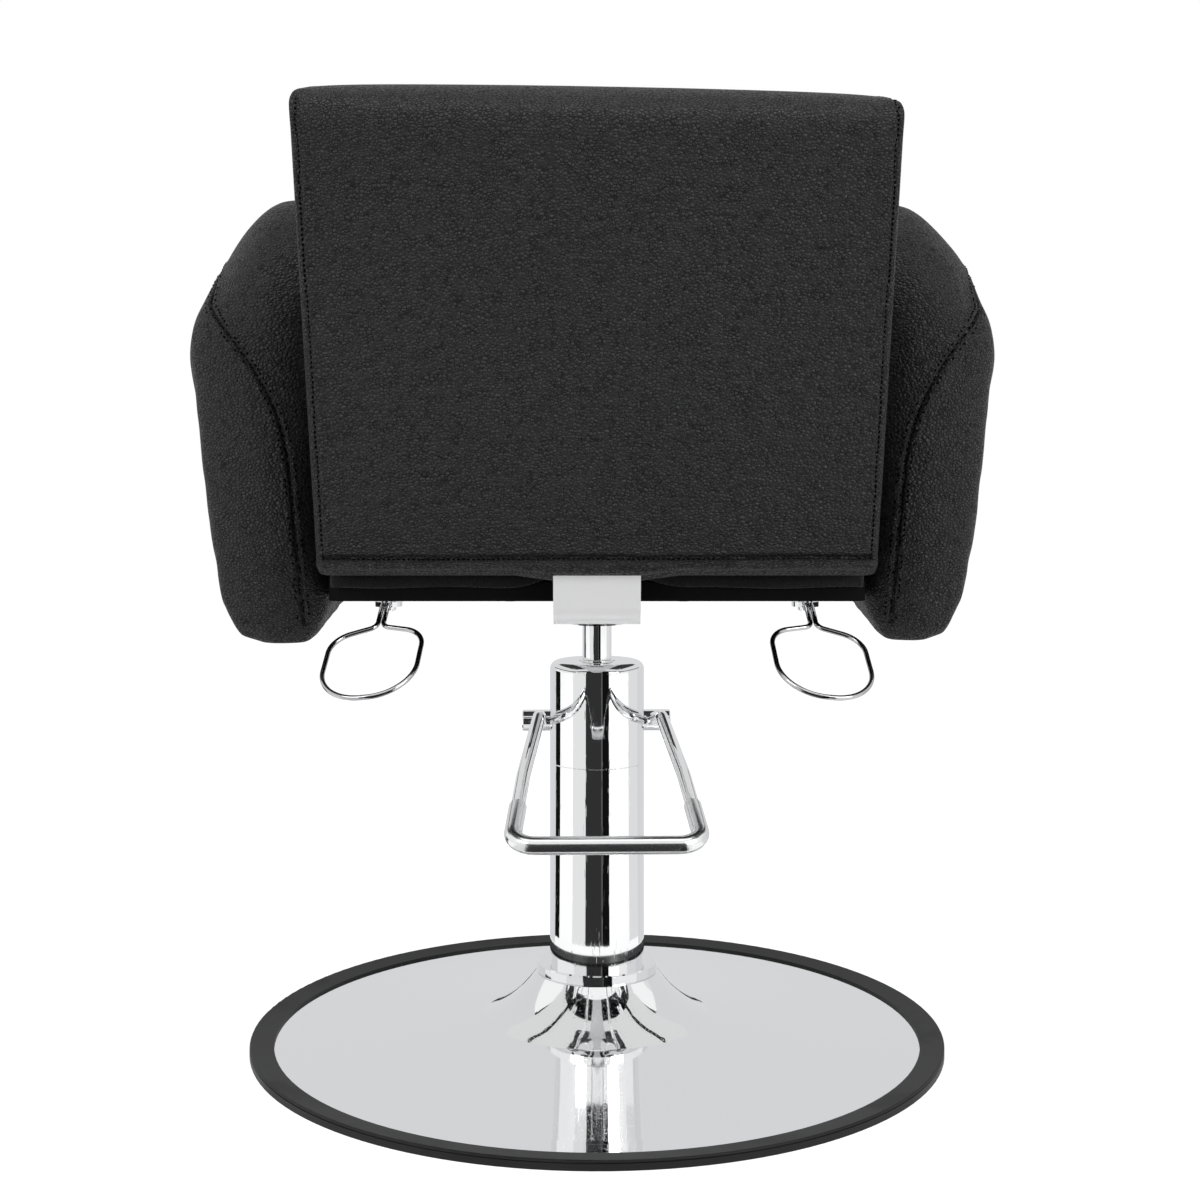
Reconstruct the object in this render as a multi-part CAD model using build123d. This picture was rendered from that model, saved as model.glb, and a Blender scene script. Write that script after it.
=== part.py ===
from build123d import *
import os
from math import cos, radians, sin, sqrt, tan

# Hydraulic salon styling chair, millimetres, +Z up.
# Origin: on the floor, under the column's axis. The sitter faces -Y, the back is towards +Y.

# ---- base -------------------------------------------------------------------
base_diameter = 610.0
ring_width = 21.0            # visible width of the rubber edge, seen from above
ring_height = 8.0            # outer edge of its top, which slopes down to the dish
ring_lip_height = 5.5        # inner edge of its top
ring_under = 1.5             # rubber under the dish's rim
ring_web = 3.0               # rubber outside the dish's rim
ring_edge_radius = 1.5
ring_groove = 0.8            # parting groove round the outside of the rubber
ring_groove_height = 5.8
dish_sheet = 2.0
dish_crown_height = 58.5     # top of the dish, under the flange
dish_crown_margin = 1.5      # flat of the crown outside the flange
dish_neck_angle = 54.0       # slope of the dish's neck beside the flange
dish_neck_foot_angle = 23.0  # slope where the neck meets the skirt
dish_neck_width = 46.0       # from the flat of the crown out to the skirt
dish_skirt_rise = 16.0       # height of the neck's foot above the skirt's
dish_skirt_angle = 8.0       # slope of the skirt where it leaves the neck
dish_foot_angle = 3.0        # slope of the skirt where it meets its flat land
dish_land_width = 26.0       # nearly flat land between the skirt and the rubber
dish_land_rise = 0.5
weight_radius = 84.0
weight_thickness = 14.0
weight_boss_height = 46.0
weight_boss_radius = 46.0
flange_diameter = 105.5
flange_thickness = 9.0
flange_bevel = 1.0
spigot_height = 11.0
base_bolt_radius = 4.0
base_bolt_circle = 35.0
base_bolt_count = 4
base_bolt_grip = 6.0         # thread in the flange

# ---- pump and column --------------------------------------------------------
column_diameter = 84.0
column_wall = 1.5
column_foot_gap = 7.3        # bare spigot between flange and column
column_top_height = 334.5
cap_depth = 90.0             # skirt of the cap, down to its joint with the lower tube
cap_sheet = 2.0
cap_edge_radius = 7.5
cap_screw_radius = 1.6
cap_screw_head = 2.8
cap_screw_head_height = 1.4
cap_screw_length = 10.0
cap_screw_circle = 27.0
cap_screw_angle = 108.0
joint_chamfer = 0.5
reservoir_gap = 2.5          # between the tank and the tube round it
reservoir_wall = 3.0
head_depth = 95.5            # foot of the head, on the tank, below the cap's top
cylinder_bore = 17.0         # radius that the piston slides in
cylinder_wall = 3.0
head_gap = 2.0               # between the head and the cap round it
head_chamfer = 8.0           # clears the rounded inside of the cap
bush_wall = 2.5
bush_length = 60.0
bush_start = 4.0             # bush above the head's lower face
seal_radius = 18.0
seal_height = 6.0
seal_depth = 4.0             # seal below the head's top
gland_lip = 1.4              # gland above the cap
pump_turn = 1.5              # turn of the pump on its base, seen from above

# ---- ram --------------------------------------------------------------------
post_radius = 13.0
lift_travel = 140.0
piston_height = 10.0
piston_rest_gap = 5.0        # oil space under the piston at rest
piston_seal_height = 3.0
piston_seal_depth = 2.0
washer_thickness = 2.0
washer_radius = 12.5

# ---- foot pedal -------------------------------------------------------------
shaft_radius = 9.6
shaft_overhang = 18.0        # shaft beyond the middle of each leg
shaft_depth = 57.5           # shaft below the cap's top
shaft_wall = 0.9             # metal between the shaft and the bush
shaft_bevel = 1.0
leg_radius = 5.5
leg_gap = 7.0                # from the column to the middle of each leg
arch_forward = 131.0         # top of the leg's arch behind the shaft
arch_rise = 24.0
arch_radius = 45.0
leg_bow = 2.0                # how far the leg's middle stands out from a straight line
leg_bow_radius = 90.0
bar_radius = 6.8
bar_half_width = 71.0
bar_reach = 319.0            # bar behind the shaft
bar_drop = 42.3              # bar below the shaft
bar_corner_radius = 17.0
sleeve_length = 54.0         # straight end of the bar that grips the leg
sleeve_grip = 34.0           # leg inside the bar
pedal_travel = 25.0          # degrees, for the hinge's range and the clearances

rocker_width = 8.0
rocker_height = 8.0
rocker_length = 34.0
plunger_radius = 5.0
plunger_side = 27.5          # plunger beside the column's axis
plunger_arm = 28.0           # plunger behind the shaft
plunger_length = 40.0
plunger_cap_radius = 6.5
plunger_cap_height = 3.5
plunger_barrel_wall = 2.0
plunger_barrel_length = 46.0
spring_radius = 6.0
spring_wire = 1.0
spring_turns = 6
chamber_floor = 4.0          # head's metal under the plunger's spring
chamber_side = 7.0           # half the width of the rocker's chamber
chamber_headroom = 22.0      # chamber above the shaft
chamber_reach = 38.0

# ---- seat carrier -----------------------------------------------------------
hub_radius = 28.0
hub_height = 22.0
hub_roof = 4.0
bar_thickness = 8.0
carrier_width = 67.0
carrier_front = 60.0         # flat bar in front of the column's axis
carrier_bend_radius = 14.0
carrier_upright = 190.0
plate_width = 180.0
plate_depth = 150.0
plate_front = 85.0
plate_thickness = 8.0
plate_bolt_x = 75.0
plate_bolt_margin = 15.0
plate_bolt_radius = 4.0
plate_bolt_head = 6.5
plate_bolt_head_height = 5.5
plate_bolt_bite = 12.0

# ---- seat -------------------------------------------------------------------
seat_above_column = 71.0     # seat board above the cap, at the seat's lowest
board_thickness = 15.0
board_half_width = 212.0
board_front_inset = 22.0
board_rear = 200.0
cushion_overhang = 1.0       # cushion beyond the board's sides
cushion_back_gap = 1.4       # between the cushion and the foot of the back
cushion_height = 104.0       # above the board, at the crown
cushion_crown = 8.0
cushion_nose_radius = 38.0
cushion_nose_under = 16.0
cushion_edge_radius = 16.0

# ---- back -------------------------------------------------------------------
recline = 12.0
back_board_gap = 7.5         # hem of the rear cover above the seat board
back_foot_rear = 243.0       # rear face at the hem, behind the column's axis
back_length = 362.0          # along the slope, from the hem to the top
back_flare = 9.5             # each side further out at the top than at the hem
back_corner_radius = 9.0
cover_thickness = 12.0
cover_pocket_skin = 2.5      # leather outside the flat bar
cover_edge_radius = 4.0
back_board_thickness = 12.0
back_board_inset = 14.0
back_pad_thickness = 68.0
back_pad_tail = 8.0          # pad below the hem
back_pad_edge_radius = 24.0
back_screw_radius = 4.0
back_screw_head = 7.0
back_screw_x = 20.0
back_screw_first = 60.0
back_screw_pitch = 70.0

# ---- arms -------------------------------------------------------------------
arm_board_gap = 2.5          # inner face at the foot, beyond the seat board
arm_back_gap = 0.3           # inner face at the top, beyond the side of the back
arm_crown = 42.5             # where the arm is fullest, out from its inner face
arm_width = 108.5
arm_rear = 218.0
arm_rear_foot = 205.0
arm_front = 224.0
arm_front_foot = 190.0
arm_above_seat = 327.5       # top of the shoulder above the seat board's underside
arm_front_drop = 11.0        # top of the arm's front below the shoulder
arm_below_seat = 36.5        # heel of the arm, at its rear, below the board's underside
arm_heel_depth = 105.0       # the heel comes down over this depth
arm_heel_rise = 22.0
arm_heel_radius = 180.0
arm_front_rise = 32.0        # underside at the front, above the heel
arm_undercut = 15.0          # bevel of the inner face under the seat
arm_undercut_height = 32.0
arm_shoulder_radius = 120.0
arm_front_radius = 80.0
arm_front_foot_radius = 45.0
arm_rear_foot_radius = 18.5
arm_round_rear = 38.0        # how far the outer side draws in at the rear
arm_round_front = 46.0
arm_round_top = 89.0
arm_round_foot = 262.0
arm_top_curve = 1.3          # 1 is a straight bevel over the top, 2 a quarter ellipse
arm_foot_curve = 3.1         # power of the taper towards the foot
arm_corner_shrink = 1.05     # share by which the outline's corners tighten outwards
arm_section_steps = (0.0, 0.3, 0.52, 0.7, 0.83, 0.9, 0.935)
arm_panel_thickness = 14.0
arm_panel_depth = 300.0
arm_panel_above_seat = 234.5
arm_panel_corner = 60.0
arm_panel_foot_gap = 36.0
arm_panel_cover = 9.0        # padding between the inner face and the panel
arm_bolt_radius = 4.0
arm_bolt_head = 6.5
arm_bolt_head_height = 4.0
arm_bolt_bite = 30.0
arm_bolt_spread = 110.0

# ---- tool holders -----------------------------------------------------------
holder_inset = 45.5          # pivot inwards of the arm's inner face
holder_turn = 4.0            # degrees that each loop points outwards at rest
holder_rear = 150.0
holder_plate_width = 34.0
holder_plate_depth = 44.0
holder_plate_thickness = 2.5
holder_screw_radius = 2.0
holder_screw_head = 4.0
holder_screw_head_height = 1.6
holder_screw_length = 14.0
holder_screw_spread = 16.0
holder_disc_radius = 11.0
holder_disc_thickness = 4.0
pivot_radius = 3.0
pivot_head_radius = 6.0
pivot_head_height = 3.0
pivot_bite = 8.0
wire_radius = 2.0
neck_spacing = 4.4           # between the two wires of the neck
neck_flat = 16.0             # level wire behind the pivot
neck_length = 27.0
loop_slope = 33.0
loop_roll = 7.0              # outer side of the loop hangs lower
loop_width = 79.0
loop_length = 84.0
loop_shoulder = 11.0
loop_near_radius = 22.0
loop_far_radius = 35.0
neck_bend_radius = 8.0

# ---- clearances -------------------------------------------------------------
running = 0.05               # radial, for every shaft and rod that turns or slides
air = 0.4                    # between faces that move past each other
shroud_gap = 1.0             # round the pedal's shaft where it leaves the column
gland_gap = 0.3

# ---- heights and places that follow from the sizes above ---------------------
base_radius = base_diameter / 2
ring_inner = base_radius - ring_width
rim_radius = base_radius - ring_web
rim_top = ring_under + dish_sheet
dish_foot_radius = ring_inner - dish_land_width
flange_radius = flange_diameter / 2
flange_top = dish_crown_height + flange_thickness
column_radius = column_diameter / 2
shroud_inner = column_radius - column_wall
column_joint_height = column_top_height - cap_depth
head_top = column_top_height - cap_sheet
head_radius = shroud_inner - head_gap
reservoir_radius = shroud_inner - reservoir_gap
reservoir_top = column_top_height - head_depth
gland_radius = post_radius + bush_wall
column_foot = flange_top + column_foot_gap
reservoir_foot = flange_top + spigot_height
cylinder_foot = reservoir_foot + reservoir_wall
piston_foot = cylinder_foot + piston_rest_gap
piston_top = piston_foot + piston_height
post_foot = piston_top + washer_thickness + air
shaft_height = column_top_height - shaft_depth
shaft_y = -(gland_radius + shaft_wall + shaft_radius)
leg_spacing = column_radius + leg_gap
shaft_length = 2 * (leg_spacing + shaft_overhang)
seat_underside = column_top_height + seat_above_column
plate_underside = seat_underside - plate_thickness
carrier_underside = plate_underside - bar_thickness
post_top = carrier_underside - hub_roof
plunger_top = shaft_height - rocker_height / 2 - air
plunger_y = shaft_y + plunger_arm
board_top = seat_underside + board_thickness
cushion_half_width = board_half_width + cushion_overhang
back_foot_height = board_top + back_board_gap
back_foot_half_width = board_half_width
back_top_half_width = back_foot_half_width + back_flare
back_plane = Plane(
    origin=(0, back_foot_rear, back_foot_height),
    x_dir=(-1, 0, 0),
    z_dir=(0, cos(radians(recline)), -sin(radians(recline))),
)                            # local y is up the back, local z is out of its rear face
seat_front = back_foot_rear + back_length * sin(radians(recline))
board_front = -(seat_front - board_front_inset)
back_thickness = cover_thickness + back_board_thickness + back_pad_thickness
back_front_foot = back_plane.from_local_coords((0, -back_pad_tail, -back_thickness))
cushion_rear = back_front_foot.Y - cushion_back_gap
arm_top = seat_underside + arm_above_seat
arm_top_front = arm_top - arm_front_drop
arm_foot = seat_underside - arm_below_seat
arm_inner_foot = board_half_width + arm_board_gap
back_share = (arm_top - back_foot_height) / (back_length * cos(radians(recline)))
arm_inner_top = back_foot_half_width + back_flare * back_share + arm_back_gap
arm_crown_x = arm_inner_foot + arm_crown
arm_outer_x = arm_inner_foot + arm_width
holder_side = arm_inner_foot - holder_inset


def cylinder_between(radius, low, high, x=0.0, y=0.0):
    """Upright cylinder from height low to height high."""
    return Pos(x, y, low) * extrude(Circle(radius), high - low)


def tube_between(outer, inner, low, high, x=0.0, y=0.0):
    """Upright tube from height low to height high."""
    return cylinder_between(outer, low, high, x, y) - cylinder_between(inner, low, high, x, y)


def cross_cylinder(radius, length, x, y, z):
    """Cylinder along X, centred on a point."""
    return Pos(x, y, z) * Rot(0, 90, 0) * Cylinder(radius, length)


def block(x0, x1, y0, y1, z0, z1):
    """Box between two corners."""
    centre = Pos((x0 + x1) / 2, (y0 + y1) / 2, (z0 + z1) / 2)
    return centre * Box(x1 - x0, y1 - y0, z1 - z0)


def wire_along(path, radius):
    """Round bar along a path."""
    return sweep(Plane(origin=path @ 0, z_dir=path % 0) * Circle(radius), path=path)


def turned(shape):
    """A piece of the pump, turned on the base with it."""
    return Rot(0, 0, pump_turn) * shape


# ---- base -------------------------------------------------------------------

def base_dish():
    """Pressed steel dish: flat crown, trumpet neck, wide skirt and a land under the rubber."""
    crown = flange_radius + dish_crown_margin
    neck_foot = crown + dish_neck_width
    foot_height = rim_top + dish_land_rise
    neck_height = foot_height + dish_skirt_rise

    def falling(angle):
        return cos(radians(angle)), -sin(radians(angle))

    def skin(drop):
        top = Line((0, dish_crown_height - drop), (crown, dish_crown_height - drop))
        neck = Spline((crown, dish_crown_height - drop), (neck_foot, neck_height - drop),
                      tangents=(falling(dish_neck_angle), falling(dish_neck_foot_angle)))
        skirt = Spline((neck_foot, neck_height - drop), (dish_foot_radius, foot_height - drop),
                       tangents=(falling(dish_skirt_angle), falling(dish_foot_angle)))
        land = Polyline((dish_foot_radius, foot_height - drop), (ring_inner, rim_top - drop),
                        (rim_radius, rim_top - drop))
        return top, neck, skirt, land

    upper = skin(0)
    lower = skin(dish_sheet)
    ends = [Line((0, dish_crown_height), (0, dish_crown_height - dish_sheet)),
            Line((rim_radius, rim_top), (rim_radius, rim_top - dish_sheet))]
    profile = make_face(Plane.XZ * (Curve() + [*upper, *lower, *ends]))
    return revolve(profile, Axis.Z) - base_bolt_shanks()


def base_rubber():
    """Rubber edge, U-shaped in section, that grips the dish's rim and stands on the floor."""
    outer = make_face(Polyline((ring_inner, 0), (base_radius, 0), (base_radius, ring_height),
                               (ring_inner, ring_lip_height), close=True))
    outer = fillet(outer.vertices().group_by(Axis.Y)[-1], ring_edge_radius)
    slot = Pos((ring_inner + rim_radius) / 2, rim_top - dish_sheet / 2)
    outer -= slot * Rectangle(rim_radius - ring_inner, dish_sheet)
    groove = Pos(base_radius, ring_groove_height) * Rectangle(2 * ring_groove, ring_groove)
    return revolve(Plane.XZ * (outer - groove), Axis.Z)


def base_bolt_shanks():
    """The bolts' shanks, from under the weight into the flange."""
    low = weight_foot()
    shanks = [cylinder_between(base_bolt_radius, low, dish_crown_height + base_bolt_grip, spot.X, spot.Y)
              for spot in base_bolt_spots()]
    return Part() + shanks


def base_bolt_spots():
    return [Vector(base_bolt_circle, 0).rotate(Axis.Z, 45 + 360 / base_bolt_count * i)
            for i in range(base_bolt_count)]


def weight_foot():
    """Underside of the weight: its boss reaches up to the dish's crown."""
    return dish_crown_height - dish_sheet - weight_boss_height


def base_weight():
    """Cast-iron disc with a boss, bolted up under the dish."""
    low = weight_foot()
    disc = cylinder_between(weight_radius, low, low + weight_thickness)
    disc = chamfer(disc.edges(), 2)
    boss = cylinder_between(weight_boss_radius, low, dish_crown_height - dish_sheet)
    return disc + boss - base_bolt_shanks()


def base_bolts():
    """Hexagon bolts, heads under the weight."""
    low = weight_foot()
    head = base_bolt_radius * 1.3
    bolts = []
    for spot in base_bolt_spots():
        cap = Pos(spot.X, spot.Y, low - head) * extrude(RegularPolygon(base_bolt_radius * 1.7, 6), head)
        shank = cylinder_between(base_bolt_radius, low, dish_crown_height + base_bolt_grip, spot.X, spot.Y)
        bolts.append(cap + shank)
    return bolts


def base_flange():
    """Turned flange with the spigot that carries the reservoir and centres the column."""
    disc = cylinder_between(flange_radius, dish_crown_height, flange_top)
    disc = chamfer(disc.edges(), flange_bevel)
    spigot = cylinder_between(shroud_inner, flange_top, reservoir_foot)
    return disc + spigot - base_bolt_shanks()


# ---- pump and column --------------------------------------------------------

def lower_shroud():
    """Plain chromed tube round the reservoir."""
    tube = tube_between(column_radius, shroud_inner, column_foot, column_joint_height)
    rim = tube.edges().filter_by(GeomType.CIRCLE).group_by(Axis.Z)[-1].sort_by(SortBy.RADIUS)[-1]
    return chamfer(rim, joint_chamfer)


def upper_shroud():
    """Deep-drawn cap on the pump's head, open for the gland, its screw and the pedal's shaft."""
    shell = cylinder_between(column_radius, column_joint_height, column_top_height)
    shell = fillet(shell.edges().group_by(Axis.Z)[-1], cap_edge_radius)
    hollow = cylinder_between(shroud_inner, column_joint_height, column_top_height - cap_sheet)
    hollow = fillet(hollow.edges().group_by(Axis.Z)[-1], cap_edge_radius - column_wall)
    shell = shell - hollow
    shell = chamfer(shell.edges().group_by(Axis.Z)[0].sort_by(SortBy.RADIUS)[-1], joint_chamfer)
    shell -= cylinder_between(gland_radius + gland_gap, head_top, column_top_height)
    shell -= cap_screw_body()
    shell -= cross_cylinder(shaft_radius + shroud_gap, column_diameter, 0, shaft_y, shaft_height)
    return turned(shell)


def pump_reservoir():
    """Oil tank: a closed steel pot."""
    pot = cylinder_between(reservoir_radius, reservoir_foot, reservoir_top)
    return pot - cylinder_between(reservoir_radius - reservoir_wall, cylinder_foot, reservoir_top)


def pump_cylinder():
    """Honed tube that the piston slides in."""
    return tube_between(cylinder_bore + cylinder_wall, cylinder_bore, cylinder_foot, reservoir_top)


def rocker_chamber():
    """Room in the head for the rocker, its plunger and its spring."""
    return block(plunger_side - chamber_side, plunger_side + chamber_side,
                 shaft_y, shaft_y + chamber_reach,
                 reservoir_top + chamber_floor, shaft_height + chamber_headroom)


def pump_head():
    """Cast head: closes the tank, guides the ram and carries the pedal's shaft."""
    body = cylinder_between(head_radius, reservoir_top, head_top)
    body = chamfer(body.edges().group_by(Axis.Z)[-1], head_chamfer)
    body -= cylinder_between(post_radius + bush_wall, reservoir_top + bush_start,
                             reservoir_top + bush_start + bush_length)
    body -= cylinder_between(post_radius + running, reservoir_top, head_top)
    body -= cylinder_between(seal_radius, head_top - seal_depth - seal_height, head_top - seal_depth)
    body -= cylinder_between(gland_radius, head_top - seal_depth, head_top)
    body -= cap_screw_body()
    body -= cross_cylinder(shaft_radius + running, 3 * head_radius, 0, shaft_y, shaft_height)
    body -= rocker_chamber()
    body -= cylinder_between(plunger_radius + running, reservoir_top, reservoir_top + chamber_floor,
                             plunger_side, plunger_y)
    return turned(body)


def guide_bush():
    """Bronze sleeve that guides the post."""
    low = reservoir_top + bush_start
    return tube_between(post_radius + bush_wall, post_radius + running, low, low + bush_length)


def rod_seal():
    """Oil seal round the post."""
    low = head_top - seal_depth - seal_height
    return tube_between(seal_radius, post_radius + running, low, low + seal_height)


def gland_collar():
    """Chromed ring pressed into the head, standing a little above the cap round the post."""
    collar = tube_between(gland_radius, post_radius + running, head_top - seal_depth,
                          column_top_height + gland_lip)
    crown = collar.edges().filter_by(GeomType.CIRCLE).group_by(Axis.Z)[-1].sort_by(SortBy.RADIUS)[-1]
    return fillet(crown, gland_lip / 2)


def cap_screw_body():
    """Room that the cap's screw takes in the cap and the head."""
    seat = column_top_height - cap_screw_head_height
    head = cylinder_between(cap_screw_head, seat, column_top_height, cap_screw_circle)
    shank = cylinder_between(cap_screw_radius, seat - cap_screw_length, seat, cap_screw_circle)
    return Rot(0, 0, cap_screw_angle) * (head + shank)


def cap_screw():
    """Socket screw, flush with the cap's top, that holds the cap on the head."""
    socket = Pos(cap_screw_circle, 0, column_top_height - cap_screw_head_height * 0.8)
    key = socket * extrude(RegularPolygon(cap_screw_head * 0.5, 6), cap_screw_head_height)
    return turned(cap_screw_body() - Rot(0, 0, cap_screw_angle) * key)


def plunger_barrel():
    """Small tube under the head that the plunger works in."""
    barrel = tube_between(plunger_radius + plunger_barrel_wall, plunger_radius + running,
                          reservoir_top - plunger_barrel_length, reservoir_top, plunger_side, plunger_y)
    return turned(barrel)


# ---- ram --------------------------------------------------------------------

def piston():
    """Piston with a groove for its seal."""
    body = cylinder_between(cylinder_bore - running, piston_foot, piston_top)
    return body - piston_seal_space()


def piston_seal_space():
    middle = (piston_foot + piston_top) / 2
    low = middle - piston_seal_height / 2
    outer = cylinder_bore - running
    return tube_between(outer, outer - piston_seal_depth, low, low + piston_seal_height)


def thrust_washer():
    """Bearing washer that the post turns on."""
    return cylinder_between(washer_radius, piston_top, piston_top + washer_thickness)


def post():
    """Chromed rod from the piston to the seat's hub."""
    return chamfer(cylinder_between(post_radius, post_foot, post_top).edges(), 1.0)


# ---- foot pedal -------------------------------------------------------------

def pedal_points(side):
    """Corners of one leg's centre line: shaft, arch, bow, bar's corner."""
    start = Vector(side * leg_spacing, shaft_y, shaft_height)
    arch = Vector(side * (leg_spacing + 2), shaft_y + arch_forward, shaft_height + arch_rise)
    corner = Vector(side * bar_half_width, shaft_y + bar_reach, shaft_height - bar_drop)
    middle = (arch + corner) * 0.5 + Vector(side * leg_bow, 0, leg_bow / 2)
    return start, arch, middle, corner


def sleeve_points(side):
    """Where the bar's sleeve starts on the leg, and where the leg ends inside it."""
    _, _, middle, corner = pedal_points(side)
    along = (middle - corner).normalized()
    mouth = corner + along * sleeve_length
    return mouth, mouth - along * sleeve_grip


def pedal_leg(side):
    """Bent round bar from the shaft, over its arch and down to the bar."""
    start, arch, middle, _ = pedal_points(side)
    _, end = sleeve_points(side)
    path = FilletPolyline(start, arch, middle, end, radius=[arch_radius, leg_bow_radius])
    leg = wire_along(path, leg_radius)
    return leg - cross_cylinder(shaft_radius, shaft_length, 0, shaft_y, shaft_height)


def pedal_legs():
    return [pedal_leg(1), pedal_leg(-1)]


def pedal_bar():
    """Thicker U-shaped foot bar whose ends sleeve over the legs."""
    left, _ = sleeve_points(1)
    right, _ = sleeve_points(-1)
    corner_left = pedal_points(1)[3]
    corner_right = pedal_points(-1)[3]
    path = FilletPolyline(left, corner_left, corner_right, right, radius=bar_corner_radius)
    bar = wire_along(path, bar_radius)
    for leg in pedal_legs():
        bar = bar - leg
    return turned(bar)


def pedal_shaft():
    """Cross shaft that the legs are welded to."""
    shaft = cross_cylinder(shaft_radius, shaft_length, 0, shaft_y, shaft_height)
    return turned(chamfer(shaft.edges(), shaft_bevel))


def pump_rocker():
    """Lever on the shaft that presses the plunger."""
    arm = block(plunger_side - rocker_width / 2, plunger_side + rocker_width / 2,
                shaft_y, shaft_y + rocker_length,
                shaft_height - rocker_height / 2, shaft_height + rocker_height / 2)
    arm = chamfer(arm.edges().filter_by(Axis.X).group_by(Axis.Y)[-1], 1.5)
    return turned(arm - cross_cylinder(shaft_radius, shaft_length, 0, shaft_y, shaft_height))


def pump_plunger():
    """Plunger with a cap that its spring pushes up against the rocker."""
    rod = cylinder_between(plunger_radius, plunger_top - plunger_length, plunger_top,
                           plunger_side, plunger_y)
    cap = cylinder_between(plunger_cap_radius, plunger_top - plunger_cap_height, plunger_top,
                           plunger_side, plunger_y)
    return turned(rod + cap)


def plunger_spring():
    """Compression spring under the plunger's cap."""
    low = reservoir_top + chamber_floor + spring_wire / 2
    high = plunger_top - plunger_cap_height - spring_wire / 2
    reach = high - low
    path = Helix(pitch=reach / spring_turns, height=reach, radius=spring_radius)
    wire = sweep(Plane(origin=path @ 0, z_dir=path % 0) * Circle(spring_wire / 2), path=path)
    return turned(Pos(plunger_side, plunger_y, low) * wire)


# ---- seat carrier -----------------------------------------------------------

def seat_hub():
    """Socket welded under the flat bar, with a blind bore for the post."""
    hub = cylinder_between(hub_radius, carrier_underside - hub_height, carrier_underside)
    hub = chamfer(hub.edges().group_by(Axis.Z)[0], 3.0)
    return hub - cylinder_between(post_radius, carrier_underside - hub_height, post_top)


def carrier_centre_line():
    """Side view of the flat bar's middle: level under the seat, then up behind the back board."""
    depth = -(cover_pocket_skin + bar_thickness / 2)
    foot = back_plane.from_local_coords((0, 0, depth))
    rise = Vector(0, sin(radians(recline)), cos(radians(recline)))
    level = carrier_underside + bar_thickness / 2
    corner = foot + rise * ((level - foot.Z) / rise.Z)
    top = foot + rise * carrier_upright
    return FilletPolyline((0, -carrier_front, level), (0, corner.Y, level), (0, top.Y, top.Z),
                          radius=carrier_bend_radius)


def carrier_blank():
    line = carrier_centre_line()
    section = Plane(origin=line @ 0, x_dir=(1, 0, 0), z_dir=line % 0)
    return sweep(section * Rectangle(carrier_width, bar_thickness), path=line)


def back_screw_spots():
    return [(side * back_screw_x, back_screw_first + back_screw_pitch * row)
            for side in (-1, 1) for row in (0, 1)]


def back_screw(x, up):
    """Countersunk screw through the flat bar into the back board."""
    rear = -cover_pocket_skin
    length = bar_thickness + back_board_thickness * 0.8
    shank = Pos(x, up, rear - length) * extrude(Circle(back_screw_radius), length)
    head = Pos(x, up, rear - 3) * loft([Circle(back_screw_radius), Pos(0, 0, 3) * Circle(back_screw_head)])
    return back_plane * (shank + head)


def back_screws():
    return [back_screw(x, up) for x, up in back_screw_spots()]


def carrier_bar():
    """Bent flat bar that carries the back from the seat's hub."""
    bar = carrier_blank()
    for screw in back_screws():
        bar = bar - screw
    return bar


def plate_bolt_spots():
    rear = plate_depth - plate_front - plate_bolt_margin
    front = -(plate_front - plate_bolt_margin)
    return [(side * plate_bolt_x, y) for side in (-1, 1) for y in (front, rear)]


def plate_bolt(x, y):
    """Hexagon bolt up through the plate into the seat board."""
    head = Pos(x, y, plate_underside - plate_bolt_head_height)
    head = head * extrude(RegularPolygon(plate_bolt_head, 6), plate_bolt_head_height)
    tip = seat_underside + plate_bolt_bite
    return head + cylinder_between(plate_bolt_radius, plate_underside, tip, x, y)


def plate_bolts():
    return [plate_bolt(x, y) for x, y in plate_bolt_spots()]


def seat_plate():
    """Steel plate between the flat bar and the seat board."""
    plate = block(-plate_width / 2, plate_width / 2, -plate_front, plate_depth - plate_front,
                  plate_underside, seat_underside)
    plate = fillet(plate.edges().filter_by(Axis.Z), 12)
    for bolt in plate_bolts():
        plate = plate - bolt
    return plate


# ---- seat -------------------------------------------------------------------

def seat_board():
    """Plywood base of the seat."""
    board = block(-board_half_width, board_half_width, board_front, board_rear, seat_underside, board_top)
    board = fillet(board.edges().filter_by(Axis.Z), 12)
    cutters = plate_bolts() + arm_bolts(1) + arm_bolts(-1) + holder_pivots() + holder_screws()
    for cutter in cutters:
        board = board - cutter
    return board


def seat_cushion():
    """Thick padded seat with a rounded front."""
    top = board_top + cushion_height
    edge = top - cushion_crown
    middle = (cushion_rear - seat_front) / 2
    crown = ThreePointArc((cushion_rear, edge), (middle, top), (-seat_front, edge))
    sides = Polyline((-seat_front, edge), (-seat_front, board_top), (cushion_rear, board_top),
                     (cushion_rear, edge))
    profile = make_face(Plane.YZ * (Curve() + [crown, sides]))
    pad = Pos(-cushion_half_width, 0, 0) * extrude(profile, 2 * cushion_half_width, dir=(1, 0, 0))
    front = pad.edges().filter_by(Axis.X).group_by(Axis.Y)[0].sort_by(Axis.Z)
    pad = fillet(front[-1], cushion_nose_radius)
    front = pad.edges().filter_by(Axis.X).group_by(Axis.Y)[0].sort_by(Axis.Z)
    pad = fillet(front[0], cushion_nose_under)
    return pad


# ---- back -------------------------------------------------------------------

def back_outline(inset, foot, top):
    """Face of the back, wider at the top, drawn on its own sloping plane."""
    slope = (back_top_half_width - back_foot_half_width) / back_length
    low = back_foot_half_width + slope * foot - inset
    high = back_foot_half_width + slope * top - inset
    face = make_face(Polyline((-low, foot), (low, foot), (high, top), (-high, top), close=True))
    return fillet(face.vertices().group_by(Axis.Y)[-1], back_corner_radius)


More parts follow.
